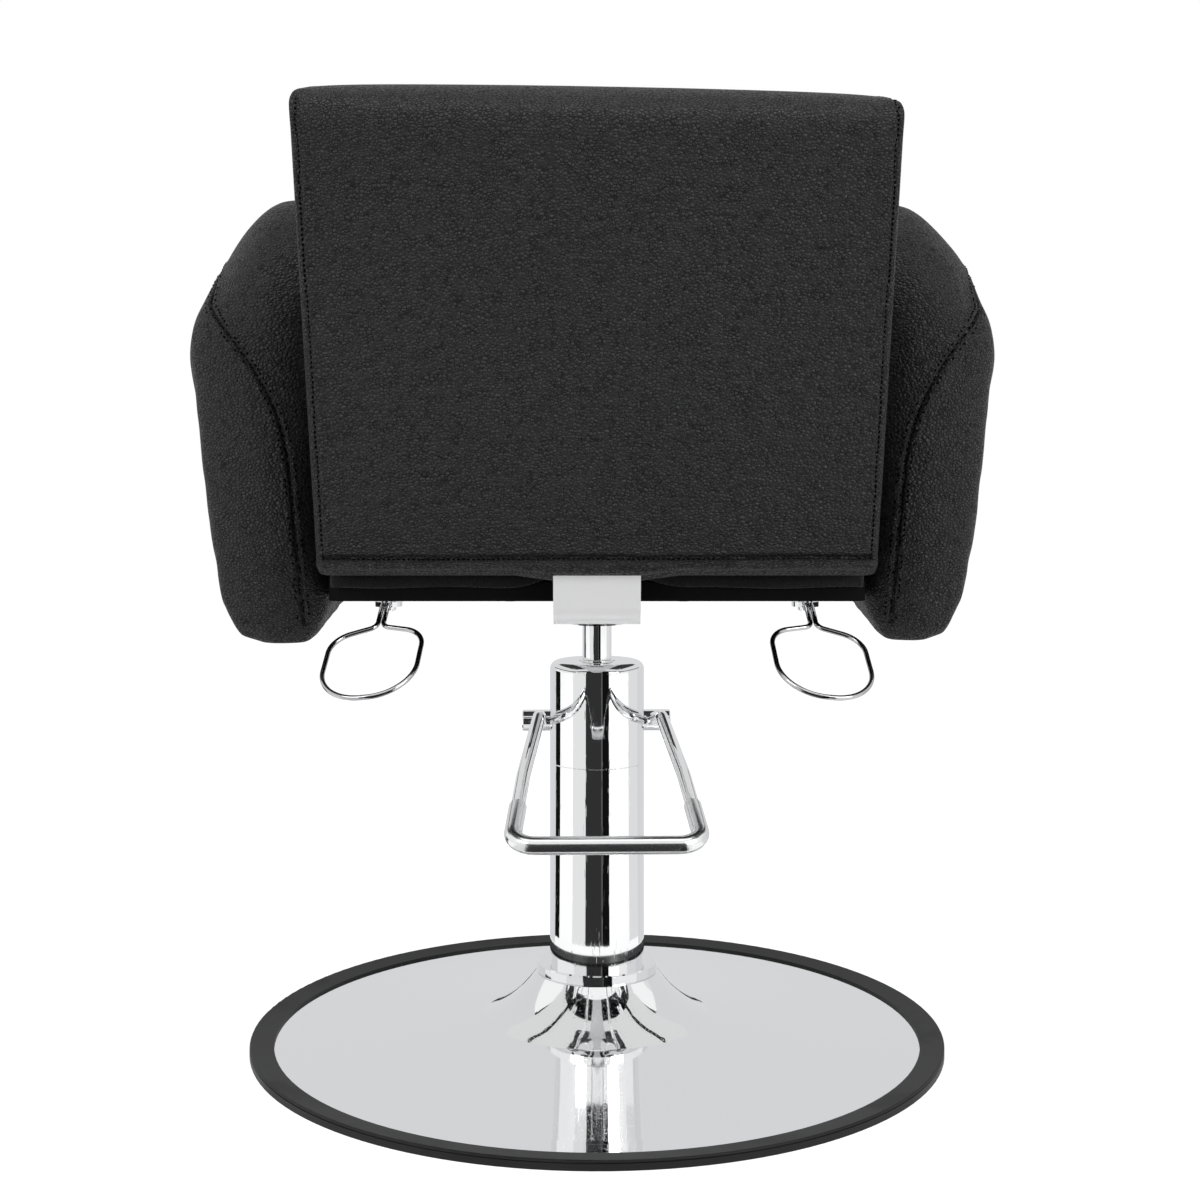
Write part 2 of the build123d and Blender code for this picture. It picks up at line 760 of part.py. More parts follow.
def back_slab(inset, foot, top, low, high):
    """Slab of that outline between two depths behind or in front of the rear face."""
    return Pos(0, 0, low) * extrude(back_outline(inset, foot, top), high - low)


def back_cover():
    """Padded leather rear of the back, with a pocket for the flat bar."""
    slab = back_slab(0, 0, back_length, -cover_thickness, 0)
    rim = slab.faces().sort_by(Axis.Z)[-1].edges()
    slab = fillet(rim, cover_edge_radius)
    return back_plane * slab - pocket_space()


def pocket_space():
    """Room for the flat bar between the rear cover's skin and the back board."""
    room = Pos(0, (carrier_upright + air) / 2 - air, -(cover_pocket_skin + cover_thickness) / 2)
    height = carrier_upright + 3 * air
    return back_plane * room * Box(carrier_width + 2 * air, height, cover_thickness - cover_pocket_skin)


def back_board():
    """Plywood board inside the back."""
    depth = -cover_thickness
    top = back_length - back_board_inset
    slab = back_slab(back_board_inset, back_board_inset, top, depth - back_board_thickness, depth)
    board = back_plane * slab
    for screw in back_screws():
        board = board - screw
    return board


def back_pad():
    """Foam front of the back, wrapped round the board's edges."""
    rear = -cover_thickness
    slab = back_slab(0, -back_pad_tail, back_length, -back_thickness, rear)
    rim = slab.faces().sort_by(Axis.Z)[0].edges()
    slab = fillet(rim, back_pad_edge_radius)
    top = back_length - back_board_inset
    slab -= back_slab(back_board_inset, back_board_inset, top, rear - back_board_thickness, rear)
    return back_plane * slab - carrier_blank()


# ---- arms -------------------------------------------------------------------

def arm_section(x, rear, front, top, foot):
    """Side outline of the arm at distance x from the middle, drawn in by the given amounts."""
    flatten = 1 - foot / arm_round_foot
    low = arm_foot + foot
    corners = [(-arm_front_foot + front, low + arm_front_rise * flatten),
               (arm_rear_foot - arm_heel_depth - rear, low + arm_heel_rise * flatten),
               (arm_rear_foot - rear, low),
               (arm_rear - rear, arm_top - top), (-arm_front + front, arm_top_front - top)]
    shrink = 1 - rear / arm_round_rear * arm_corner_shrink
    radii = [radius * shrink for radius in (arm_front_foot_radius, arm_heel_radius, arm_rear_foot_radius,
                                            arm_shoulder_radius, arm_front_radius)]
    lines = []
    for i, radius in enumerate(radii):
        before, here, after = (Vector(*corners[j % len(corners)]) for j in (i - 1, i, i + 1))
        turn = (before - here).get_angle(after - here)
        reach = radius / tan(radians(turn / 2))
        enter = here + (before - here).normalized() * reach
        leave = here + (after - here).normalized() * reach
        bisector = ((before - here).normalized() + (after - here).normalized()).normalized()
        middle = here + bisector * (radius / sin(radians(turn / 2)) - radius)
        lines.append((enter, middle, leave))
    edges = []
    for i, (enter, middle, leave) in enumerate(lines):
        edges.append(ThreePointArc(enter, middle, leave))
        edges.append(Line(leave, lines[(i + 1) % len(lines)][0]))
    return Plane(origin=(x, 0, 0), x_dir=(0, 1, 0), z_dir=(1, 0, 0)) * make_face(Curve() + edges)


def room_beside(low, high):
    """Space on the inner side of a plane that leans from one point (x, z) to a higher one."""
    up = Vector(high[0] - low[0], 0, high[1] - low[1]).normalized()
    lean = Plane(origin=(low[0], 0, low[1]), x_dir=(0, 1, 0), z_dir=Vector(-up.Z, 0, up.X))
    return lean * extrude(Rectangle(4 * arm_rear, 4 * arm_top), arm_inner_foot / 2)


def arm_body(side):
    """Padded arm: flat inside, big rounded shoulder behind, drawn in towards its foot."""
    width = arm_outer_x - arm_crown_x
    inner = 2 * arm_inner_foot - arm_inner_top
    sections = [arm_section(inner, 0, 0, 0, 0)]
    for step in arm_section_steps:
        ends = 1 - sqrt(1 - step * step)
        over = 1 - (1 - step ** arm_top_curve) ** (1 / arm_top_curve)
        under = step ** arm_foot_curve
        sections.append(arm_section(arm_crown_x + width * step, arm_round_rear * ends,
                                    arm_round_front * ends, arm_round_top * over, arm_round_foot * under))
    body = loft(sections, ruled=True)
    body -= room_beside((arm_inner_foot, arm_foot), (arm_inner_top, arm_top))
    body -= room_beside((arm_inner_foot + arm_undercut, arm_foot),
                        (arm_inner_foot, arm_foot + arm_undercut_height))
    if side < 0:
        body = mirror(body, Plane.YZ)
    return body


def arm_panel(side):
    """Plywood panel inside the arm, which its bolts pull against the seat board."""
    near = arm_inner_foot + arm_panel_cover
    low = arm_foot + arm_panel_foot_gap
    panel = block(near, near + arm_panel_thickness, -arm_panel_depth / 2, arm_panel_depth / 2,
                  low, seat_underside + arm_panel_above_seat)
    panel = fillet(panel.edges().filter_by(Axis.X).group_by(Axis.Z)[-1], arm_panel_corner)
    if side < 0:
        panel = mirror(panel, Plane.YZ)
    return panel


def arm_bolt(side, y):
    """Bolt from the outside of the arm's panel into the edge of the seat board."""
    outer = arm_inner_foot + arm_panel_cover + arm_panel_thickness
    inner = board_half_width - arm_bolt_bite
    height = (seat_underside + board_top) / 2
    shank = cross_cylinder(arm_bolt_radius, outer - inner, side * (outer + inner) / 2, y, height)
    head = cross_cylinder(arm_bolt_head, arm_bolt_head_height,
                          side * (outer + arm_bolt_head_height / 2), y, height)
    return shank + head


def arm_bolts(side):
    return [arm_bolt(side, y) for y in (-arm_bolt_spread, 0, arm_bolt_spread)]


def arm_pad(side):
    """Foam and leather of the arm, hollow where the panel and its bolts are."""
    pad = arm_body(side) - arm_panel(side)
    for bolt in arm_bolts(side):
        pad = pad - bolt
    return pad


def arm_panel_drilled(side):
    panel = arm_panel(side)
    for bolt in arm_bolts(side):
        panel = panel - bolt
    return panel


# ---- tool holders -----------------------------------------------------------

def holder_place(side):
    return side * holder_side, holder_rear


def holder_screw(x, y):
    """Round-headed screw through the holder's plate into the seat board."""
    face = seat_underside - holder_plate_thickness
    head = cylinder_between(holder_screw_head, face - holder_screw_head_height, face, x, y)
    return head + cylinder_between(holder_screw_radius, face, face + holder_screw_length, x, y)


def holder_screws():
    screws = []
    for side in (1, -1):
        x, y = holder_place(side)
        screws += [holder_screw(x, y - holder_screw_spread), holder_screw(x, y + holder_screw_spread)]
    return screws


def holder_disc_top():
    return seat_underside - holder_plate_thickness - holder_screw_head_height - air


def holder_pivot(side):
    """Shouldered screw that the holder turns on."""
    x, y = holder_place(side)
    under = holder_disc_top() - holder_disc_thickness - air
    head = cylinder_between(pivot_head_radius, under - pivot_head_height, under, x, y)
    head = chamfer(head.edges().group_by(Axis.Z)[0], 0.8)
    return head + cylinder_between(pivot_radius, under, seat_underside + pivot_bite, x, y)


def holder_pivots():
    return [holder_pivot(1), holder_pivot(-1)]


def holder_plate(side):
    """Small steel plate under the seat board."""
    x, y = holder_place(side)
    plate = block(x - holder_plate_width / 2, x + holder_plate_width / 2,
                  y - holder_plate_depth / 2, y + holder_plate_depth / 2,
                  seat_underside - holder_plate_thickness, seat_underside)
    plate = fillet(plate.edges().filter_by(Axis.Z), 5)
    for cutter in holder_screws() + holder_pivots():
        plate = plate - cutter
    return plate


def holder_disc(side):
    """Disc that turns on the pivot and carries the wire."""
    x, y = holder_place(side)
    top = holder_disc_top()
    return tube_between(holder_disc_radius, pivot_radius + running, top - holder_disc_thickness, top, x, y)


def holder_wire(side):
    """Loop of round wire: two wires side by side for a neck, then a rounded oval."""
    x, y = holder_place(side)
    level = holder_disc_top() - holder_disc_thickness / 2
    bend = Vector(x, y + neck_flat, level)
    down = Vector(0, cos(radians(loop_slope)), -sin(radians(loop_slope)))
    across = Vector(1, 0, 0).rotate(Axis((0, 0, 0), down), side * loop_roll)
    half = neck_spacing / 2
    reach = loop_width / 2 - wire_radius

    def at(along, aside):
        return bend + down * along + across * aside

    near = neck_length
    shoulder = neck_length + loop_shoulder
    far = neck_length + loop_length
    points = [Vector(x + half, y + holder_disc_radius * 0.6, level), Vector(x + half, bend.Y, level),
              at(near, half), at(shoulder, reach), at(far, reach),
              at(far, -reach), at(shoulder, -reach), at(near, -half),
              Vector(x - half, bend.Y, level), Vector(x - half, y + holder_disc_radius * 0.6, level)]
    radii = [neck_bend_radius, neck_bend_radius, loop_near_radius, loop_far_radius,
             loop_far_radius, loop_near_radius, neck_bend_radius, neck_bend_radius]
    wire = wire_along(FilletPolyline(*points, radius=radii), wire_radius)
    wire = Pos(x, y) * Rot(0, 0, -side * holder_turn) * Pos(-x, -y) * wire
    disc_space = cylinder_between(holder_disc_radius, level - holder_disc_thickness,
                                  level + holder_disc_thickness, x, y)
    return wire - disc_space


# ---- all sub-parts ----------------------------------------------------------

nodes = {
    "base_dish": base_dish(),
    "base_rubber_ring": base_rubber(),
    "base_weight": base_weight(),
    "base_bolts": base_bolts(),
    "base_flange": base_flange(),
    "lower_shroud": lower_shroud(),
    "upper_shroud": upper_shroud(),
    "pump_reservoir": pump_reservoir(),
    "pump_cylinder": pump_cylinder(),
    "pump_head": pump_head(),
    "guide_bush": guide_bush(),
    "rod_seal": rod_seal(),
    "gland_collar": gland_collar(),
    "cap_screw": cap_screw(),
    "plunger_barrel": plunger_barrel(),
    "piston": piston(),
    "piston_seal": piston_seal_space(),
    "thrust_washer": thrust_washer(),
    "post": post(),
    "pedal_shaft": pedal_shaft(),
    "pedal_leg_left": turned(pedal_leg(1)),
    "pedal_leg_right": turned(pedal_leg(-1)),
    "pedal_bar": pedal_bar(),
    "pump_rocker": pump_rocker(),
    "pump_plunger": pump_plunger(),
    "plunger_spring": plunger_spring(),
    "seat_hub": seat_hub(),
    "carrier_bar": carrier_bar(),
    "seat_plate": seat_plate(),
    "plate_bolts": plate_bolts(),
    "seat_board": seat_board(),
    "seat_cushion": seat_cushion(),
    "back_board": back_board(),
    "back_screws": back_screws(),
    "back_pad": back_pad(),
    "back_cover": back_cover(),
    "arm_bolts": arm_bolts(1) + arm_bolts(-1),
    "holder_screws": holder_screws(),
}
for word, side in (("left", 1), ("right", -1)):
    nodes["arm_pad_" + word] = arm_pad(side)
    nodes["arm_panel_" + word] = arm_panel_drilled(side)
    nodes["holder_plate_" + word] = holder_plate(side)
    nodes["holder_pivot_" + word] = holder_pivot(side)
    nodes["holder_disc_" + word] = holder_disc(side)
    nodes["holder_wire_" + word] = holder_wire(side)

os.makedirs("parts", exist_ok=True)
for name, shape in nodes.items():
    if isinstance(shape, list):
        shape = Compound(children=shape)
    export_step(shape, f"parts/{name}.step")
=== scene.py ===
from math import cos, pi, radians, sin

import bmesh
import bpy
import numpy as np
from mathutils import Matrix, Vector, kdtree
from mathutils.bvhtree import BVHTree


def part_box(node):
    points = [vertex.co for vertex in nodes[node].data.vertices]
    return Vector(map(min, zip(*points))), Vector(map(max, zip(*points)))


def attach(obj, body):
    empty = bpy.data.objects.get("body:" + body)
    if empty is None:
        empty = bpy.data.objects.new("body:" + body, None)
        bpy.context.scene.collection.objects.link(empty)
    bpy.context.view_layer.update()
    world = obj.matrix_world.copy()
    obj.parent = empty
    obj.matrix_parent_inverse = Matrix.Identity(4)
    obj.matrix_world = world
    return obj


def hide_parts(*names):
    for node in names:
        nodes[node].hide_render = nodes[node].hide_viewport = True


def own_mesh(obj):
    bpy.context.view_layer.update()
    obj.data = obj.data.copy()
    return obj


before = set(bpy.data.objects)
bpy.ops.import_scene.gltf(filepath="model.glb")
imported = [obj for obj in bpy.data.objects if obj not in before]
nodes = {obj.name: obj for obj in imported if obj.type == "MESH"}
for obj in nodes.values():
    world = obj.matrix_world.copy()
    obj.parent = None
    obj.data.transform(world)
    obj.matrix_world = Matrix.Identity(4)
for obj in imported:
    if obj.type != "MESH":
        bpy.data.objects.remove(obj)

scene = bpy.context.scene
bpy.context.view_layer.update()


# ---- studio -----------------------------------------------------------------
# A level camera behind the chair at seat height, a pale floor and a white surround.
# Softboxes stand on both sides of the camera and one hangs overhead. Cards that only
# mirrors can see give the chrome its dark and grey stripes.

camera_height = 0.5394
camera_distance = 1.652
white_level = 1.0
room_level = 0.42
floor_span = 40.0

scene.view_settings.view_transform = "Standard"
camera_data = bpy.data.cameras.new("camera")
camera_data.lens = 55.5
camera_data.sensor_width = 36.0
camera_data.shift_x = 0.0025
camera_data.shift_y = -0.1411
camera = bpy.data.objects.new("camera", camera_data)
camera.location = (0, camera_distance, camera_height)
camera.rotation_euler = (pi / 2, 0, pi)
scene.collection.objects.link(camera)
scene.camera = camera


def shader(name):
    """A new material, a function that adds a node to it, and one that links two sockets."""
    material = bpy.data.materials.new(name)
    material.use_nodes = True
    tree = material.node_tree
    tree.nodes.clear()
    return material, tree.nodes.new, tree.links.new


def seen_directly(add, link):
    """1 for rays from the camera, from mirrors and through glass; 0 for light on the object."""
    path = add("ShaderNodeLightPath")
    first = add("ShaderNodeMath")
    first.operation = "MAXIMUM"
    second = add("ShaderNodeMath")
    second.operation = "MAXIMUM"
    link(path.outputs["Is Camera Ray"], first.inputs[0])
    link(path.outputs["Is Glossy Ray"], first.inputs[1])
    link(first.outputs[0], second.inputs[0])
    link(path.outputs["Is Transmission Ray"], second.inputs[1])
    return second.outputs[0]


world = bpy.data.worlds.new("surround")
scene.world = world
world.use_nodes = True
world.node_tree.nodes.clear()
add, link = world.node_tree.nodes.new, world.node_tree.links.new
shown = add("ShaderNodeBackground")
shown.inputs["Color"].default_value = (1, 1, 1, 1)
shown.inputs["Strength"].default_value = white_level
room = add("ShaderNodeBackground")
room.inputs["Color"].default_value = (1, 1, 1, 1)
room.inputs["Strength"].default_value = room_level
choice = add("ShaderNodeMixShader")
link(seen_directly(add, link), choice.inputs[0])
link(room.outputs[0], choice.inputs[1])
link(shown.outputs[0], choice.inputs[2])
link(choice.outputs[0], add("ShaderNodeOutputWorld").inputs["Surface"])


def studio_floor():
    """White to the eye, with the object's soft shadow; plain pale paint as far as light goes."""
    material, add, link = shader("studio_floor")
    paint = add("ShaderNodeBsdfDiffuse")
    paint.inputs["Color"].default_value = (0.8, 0.8, 0.8, 1)
    veil = add("ShaderNodeBsdfDiffuse")
    veil.inputs["Color"].default_value = (0.35, 0.35, 0.35, 1)
    glow = add("ShaderNodeEmission")
    glow.inputs["Color"].default_value = (1, 1, 1, 1)
    glow.inputs["Strength"].default_value = 0.857
    both = add("ShaderNodeAddShader")
    link(veil.outputs[0], both.inputs[0])
    link(glow.outputs[0], both.inputs[1])
    choice = add("ShaderNodeMixShader")
    link(seen_directly(add, link), choice.inputs[0])
    link(paint.outputs[0], choice.inputs[1])
    link(both.outputs[0], choice.inputs[2])
    link(choice.outputs[0], add("ShaderNodeOutputMaterial").inputs["Surface"])
    return material


bpy.ops.object.select_all(action="DESELECT")
bpy.ops.mesh.primitive_plane_add(size=floor_span)
floor = bpy.context.object
floor.name = "studio_floor"
floor.data.materials.append(studio_floor())


def softbox(name, place, target, width, height, power):
    """A rectangular softbox that faces a point."""
    data = bpy.data.lights.new(name, "AREA")
    data.shape = "RECTANGLE"
    data.size, data.size_y = width, height
    data.energy = power
    lamp = bpy.data.objects.new(name, data)
    lamp.location = place
    lamp.rotation_euler = (Vector(target) - Vector(place)).to_track_quat("-Z", "Y").to_euler()
    scene.collection.objects.link(lamp)


softbox("softbox_left", (1.9, 2.0, 1.55), (0, 0, 0.5), 1.3, 1.5, 26)
softbox("softbox_right", (-1.9, 2.0, 1.55), (0, 0, 0.5), 1.3, 1.5, 26)
softbox("softbox_top", (0, 0.1, 2.6), (0, 0, 0), 2.2, 1.6, 22)


def card(name, corners, faces, shade):
    """A card of one shade that only mirrors see."""
    mesh = bpy.data.meshes.new(name)
    mesh.from_pydata(corners, [], faces)
    piece = bpy.data.objects.new(name, mesh)
    scene.collection.objects.link(piece)
    material, add, link = shader(name)
    cloth = add("ShaderNodeEmission")
    cloth.inputs["Color"].default_value = (*shade, 1)
    link(cloth.outputs[0], add("ShaderNodeOutputMaterial").inputs["Surface"])
    mesh.materials.append(material)
    piece.visible_camera = False
    piece.visible_diffuse = False
    piece.visible_shadow = False
    piece.visible_transmission = False


def screen(name, start, end, shade, near, far, top, lift=0.002):
    """A card on the floor and up a wall, round the chair from one angle to another.

    The angles are in degrees from the camera, towards the sitter's right."""
    steps = max(1, round((end - start) / 12))
    corners, faces = [], []
    for i in range(steps + 1):
        turn = radians(start + (end - start) * i / steps)
        for reach, height in ((near, lift), (far, lift), (far, top)):
            corners.append((-sin(turn) * reach, cos(turn) * reach, height))
    for i in range(0, 3 * steps, 3):
        faces += [(i, i + 1, i + 4, i + 3), (i + 1, i + 2, i + 5, i + 4)]
    card(name, corners, faces, shade)


screen("screen_charcoal", -27.0, 11.0, (0.032, 0.032, 0.033), 0.36, 2.4, 1.5)
screen("screen_edge", 11.0, 12.5, (0.2, 0.2, 0.2), 0.36, 2.4, 1.5)
screen("screen_black", 12.5, 29.0, (0.006, 0.006, 0.006), 0.36, 2.4, 1.5)
screen("screen_left_wall", -60.0, -27.0, (0.86, 0.86, 0.86), 0.36, 2.4, 1.5)
screen("screen_right_wall", 82.0, 115.0, (0.80, 0.80, 0.81), 0.36, 2.4, 1.5)
screen("screen_front", 115.0, 241.0, (0.72, 0.725, 0.74), 0.33, 2.6, 4.0)
screen("screen_front_edge", 241.0, 260.0, (0.006, 0.006, 0.006), 0.36, 2.4, 0.3)


def reflector(name, x, y, z, shade):
    """A level card close under the seat, so that the dish and the cap mirror no dark seat."""
    corners = [(x[0], y[0], z), (x[1], y[0], z), (x[1], y[1], z), (x[0], y[1], z)]
    card(name, corners, [(0, 1, 2, 3)], (shade, shade, shade))


reflector("reflector_seat", (-0.214, 0.214), (-0.33, 0.13), 0.4025, 0.76)
reflector("reflector_left_arm", (0.214, 0.34), (-0.33, 0.13), 0.366, 0.76)
reflector("reflector_right_arm", (-0.34, -0.214), (-0.33, 0.13), 0.366, 0.76)
reflector("ceiling", (-3.0, 3.0), (-3.5, 1.0), 3.2, 0.05)


# ---- chromed metal ----------------------------------------------------------
# Dish, flange, column, ram, pedal, carrier and tool holders are polished chrome plate on
# steel. The plate is mirror bright, with faint hairlines from wiping and a little haze.


def new_group(name, inputs, outputs):
    """An empty node group with these sockets: name and type, and a default for an input."""
    group = bpy.data.node_groups.new(name, "ShaderNodeTree")
    for label, kind, value in inputs:
        socket = group.interface.new_socket(label, in_out="INPUT", socket_type=kind)
        if value is not None:
            socket.default_value = value
    for label, kind in outputs:
        group.interface.new_socket(label, in_out="OUTPUT", socket_type=kind)
    inside, outside = group.nodes.new("NodeGroupInput"), group.nodes.new("NodeGroupOutput")
    return group, group.nodes.new, group.links.new, inside, outside


def mapped(add, link, value, low, high, to_low, to_high):
    """value from low..high to to_low..to_high, held at the ends."""
    node = add("ShaderNodeMapRange")
    node.interpolation_type = "SMOOTHSTEP"
    for socket, number in zip(node.inputs[1:5], (low, high, to_low, to_high)):
        socket.default_value = number
    link(value, node.inputs[0])
    return node.outputs[0]


def noise_of(add, link, vector, scale, detail=2.0, roughness=0.5):
    node = add("ShaderNodeTexNoise")
    node.inputs["Scale"].default_value = scale
    node.inputs["Detail"].default_value = detail
    node.inputs["Roughness"].default_value = roughness
    link(vector, node.inputs["Vector"])
    return node.outputs["Fac"]


def handling_group():
    """Haze from handling, and fine hairlines, for any hard surface."""
    group, add, link, inside, outside = new_group(
        "handling",
        [("Vector", "NodeSocketVector", None), ("Hairline Scale", "NodeSocketFloat", 900.0)],
        [("Haze", "NodeSocketFloat"), ("Hairlines", "NodeSocketFloat")])
    cloud = noise_of(add, link, inside.outputs["Vector"], 9.0, 4.0, 0.6)
    link(mapped(add, link, cloud, 0.45, 0.75, 0.0, 1.0), outside.inputs["Haze"])
    stretch = add("ShaderNodeMapping")
    stretch.inputs["Scale"].default_value = (1.0, 1.0, 0.06)
    stretch.inputs["Rotation"].default_value = (0.5, 0.9, 0.3)
    link(inside.outputs["Vector"], stretch.inputs["Vector"])
    lines = add("ShaderNodeTexNoise")
    lines.inputs["Detail"].default_value = 1.0
    link(stretch.outputs[0], lines.inputs["Vector"])
    link(inside.outputs["Hairline Scale"], lines.inputs["Scale"])
    link(mapped(add, link, lines.outputs["Fac"], 0.62, 0.75, 0.0, 1.0), outside.inputs["Hairlines"])
    return group


handling = handling_group()


def use_group(add, link, group, vector, **values):
    """Places a group, gives it the surface's coordinates and sets its other inputs."""
    node = add("ShaderNodeGroup")
    node.node_tree = group
    link(vector, node.inputs["Vector"])
    for label, value in values.items():
        node.inputs[label.replace("_", " ")].default_value = value
    return node


def finish_metal(name, colour, smooth, hazed, hairline):
    """Metal whose roughness runs from smooth to hazed, with hairlines of a given depth."""
    material, add, link = shader(name)
    place = add("ShaderNodeTexCoord").outputs["Object"]
    marks = use_group(add, link, handling, place)
    metal = add("ShaderNodeBsdfPrincipled")
    metal.inputs["Base Color"].default_value = (*colour, 1)
    metal.inputs["Metallic"].default_value = 1.0
    gloss = mapped(add, link, marks.outputs["Haze"], 0.0, 1.0, smooth, hazed)
    link(gloss, metal.inputs["Roughness"])
    bump = add("ShaderNodeBump")
    bump.inputs["Strength"].default_value = hairline
    bump.inputs["Distance"].default_value = 0.00005
    link(marks.outputs["Hairlines"], bump.inputs["Height"])
    link(bump.outputs[0], metal.inputs["Normal"])
    link(metal.outputs[0], add("ShaderNodeOutputMaterial").inputs["Surface"])
    return material


def dress(names, material):
    """Gives CAD pieces their finish."""
    for name in names:
        for place in nodes[name].material_slots:
            place.material = material


chrome = finish_metal("chrome_plate", (0.88, 0.885, 0.89), 0.03, 0.06, 0.25)
dress(["base_dish", "base_flange", "lower_shroud", "upper_shroud", "gland_collar", "post",
       "pedal_shaft", "pedal_leg_left", "pedal_leg_right", "seat_hub",
       "holder_plate_left", "holder_plate_right", "holder_pivot_left", "holder_pivot_right",
       "holder_disc_left", "holder_disc_right"], chrome)
dress(["pedal_bar"], finish_metal("worn_chrome", (0.80, 0.805, 0.81), 0.20, 0.28, 0.4))
# Painted shade: the holders' wires get a plate darker than the chrome, standing in for the dark
# seat they mirror.
dress(["holder_wire_left", "holder_wire_right"],
      finish_metal("wire_plate_painted_shade", (0.50, 0.50, 0.51), 0.05, 0.09, 0.25))


def satin_plate():
    """Dull plating over a brushed flat bar: long fine strokes along it, and soft blotches."""
    material, add, link = shader("satin_plate")
    place = add("ShaderNodeTexCoord").outputs["Object"]
    marks = use_group(add, link, handling, place, Hairline_Scale=400.0)
    metal = add("ShaderNodeBsdfPrincipled")
    metal.inputs["Metallic"].default_value = 0.25
    tone = add("ShaderNodeMix")
    tone.data_type = "RGBA"
    tone.inputs["A"].default_value = (0.93, 0.93, 0.935, 1)
    tone.inputs["B"].default_value = (0.88, 0.88, 0.885, 1)
    link(marks.outputs["Haze"], tone.inputs["Factor"])
    link(tone.outputs["Result"], metal.inputs["Base Color"])
    link(mapped(add, link, marks.outputs["Haze"], 0.0, 1.0, 0.40, 0.5), metal.inputs["Roughness"])
    strokes = add("ShaderNodeMapping")
    strokes.inputs["Scale"].default_value = (1.0, 0.03, 0.03)
    link(place, strokes.inputs["Vector"])
    bump = add("ShaderNodeBump")
    bump.inputs["Strength"].default_value = 0.25
    bump.inputs["Distance"].default_value = 0.00005
    link(noise_of(add, link, strokes.outputs[0], 1500.0), bump.inputs["Height"])
    link(bump.outputs[0], metal.inputs["Normal"])
    link(metal.outputs[0], add("ShaderNodeOutputMaterial").inputs["Surface"])
    return material


dress(["carrier_bar"], satin_plate())


# ---- rubber edge ------------------------------------------------------------
# A black moulded rubber ring, U-shaped in section, pressed on the dish's rim. Its skin is
# matt with a fine moulded texture, and it greys a little where shoes rub it.


def rubber(name, colour, roughness):
    material, add, link = shader(name)
    place = add("ShaderNodeTexCoord").outputs["Object"]
    marks = use_group(add, link, handling, place)
    skin = add("ShaderNodeBsdfPrincipled")
    skin.inputs["Specular IOR Level"].default_value = 0.24
    tone = add("ShaderNodeMix")
    tone.data_type = "RGBA"
    tone.inputs["A"].default_value = (*colour, 1)
    tone.inputs["B"].default_value = (*[1.7 * c + 0.004 for c in colour], 1)
    link(marks.outputs["Haze"], tone.inputs["Factor"])
    link(tone.outputs["Result"], skin.inputs["Base Color"])
    link(mapped(add, link, marks.outputs["Haze"], 0.0, 1.0, roughness, roughness + 0.12),
         skin.inputs["Roughness"])
    bump = add("ShaderNodeBump")
    bump.inputs["Strength"].default_value = 0.35
    bump.inputs["Distance"].default_value = 0.0001
    link(noise_of(add, link, place, 1400.0, 3.0), bump.inputs["Height"])
    link(bump.outputs[0], skin.inputs["Normal"])
    link(skin.outputs[0], add("ShaderNodeOutputMaterial").inputs["Surface"])
    return material


dress(["base_rubber_ring"], rubber("moulded_rubber", (0.0075, 0.0075, 0.008), 0.5))
dress(["rod_seal", "piston_seal"], rubber("seal_rubber", (0.03, 0.03, 0.03), 0.4))


# ---- metal inside and underneath --------------------------------------------
# The cast weight and pump head are grey iron as cast, the tank and the seat plate black
# powder coat, the working parts turned steel and bronze, and the screws zinc plated.


def cast_iron():
    material, add, link = shader("cast_iron")
    place = add("ShaderNodeTexCoord").outputs["Object"]
    iron = add("ShaderNodeBsdfPrincipled")
    iron.inputs["Metallic"].default_value = 0.7
    iron.inputs["Roughness"].default_value = 0.62
    tone = add("ShaderNodeValToRGB")
    tone.color_ramp.elements[0].color = (0.10, 0.10, 0.105, 1)
    tone.color_ramp.elements[1].color = (0.24, 0.235, 0.23, 1)
    link(noise_of(add, link, place, 40.0, 5.0, 0.65), tone.inputs[0])
    link(tone.outputs[0], iron.inputs["Base Color"])
    bump = add("ShaderNodeBump")
    bump.inputs["Strength"].default_value = 0.6
    bump.inputs["Distance"].default_value = 0.0004
    link(noise_of(add, link, place, 520.0, 4.0, 0.6), bump.inputs["Height"])
    link(bump.outputs[0], iron.inputs["Normal"])
    link(iron.outputs[0], add("ShaderNodeOutputMaterial").inputs["Surface"])
    return material


def powder_coat():
    material, add, link = shader("powder_coat")
    place = add("ShaderNodeTexCoord").outputs["Object"]
    coat = add("ShaderNodeBsdfPrincipled")
    coat.inputs["Base Color"].default_value = (0.028, 0.028, 0.03, 1)
    marks = use_group(add, link, handling, place)
    link(mapped(add, link, marks.outputs["Haze"], 0.0, 1.0, 0.38, 0.5), coat.inputs["Roughness"])
    bump = add("ShaderNodeBump")
    bump.inputs["Strength"].default_value = 0.4
    bump.inputs["Distance"].default_value = 0.00015
    link(noise_of(add, link, place, 800.0, 2.0), bump.inputs["Height"])
    link(bump.outputs[0], coat.inputs["Normal"])
    link(coat.outputs[0], add("ShaderNodeOutputMaterial").inputs["Surface"])
    return material


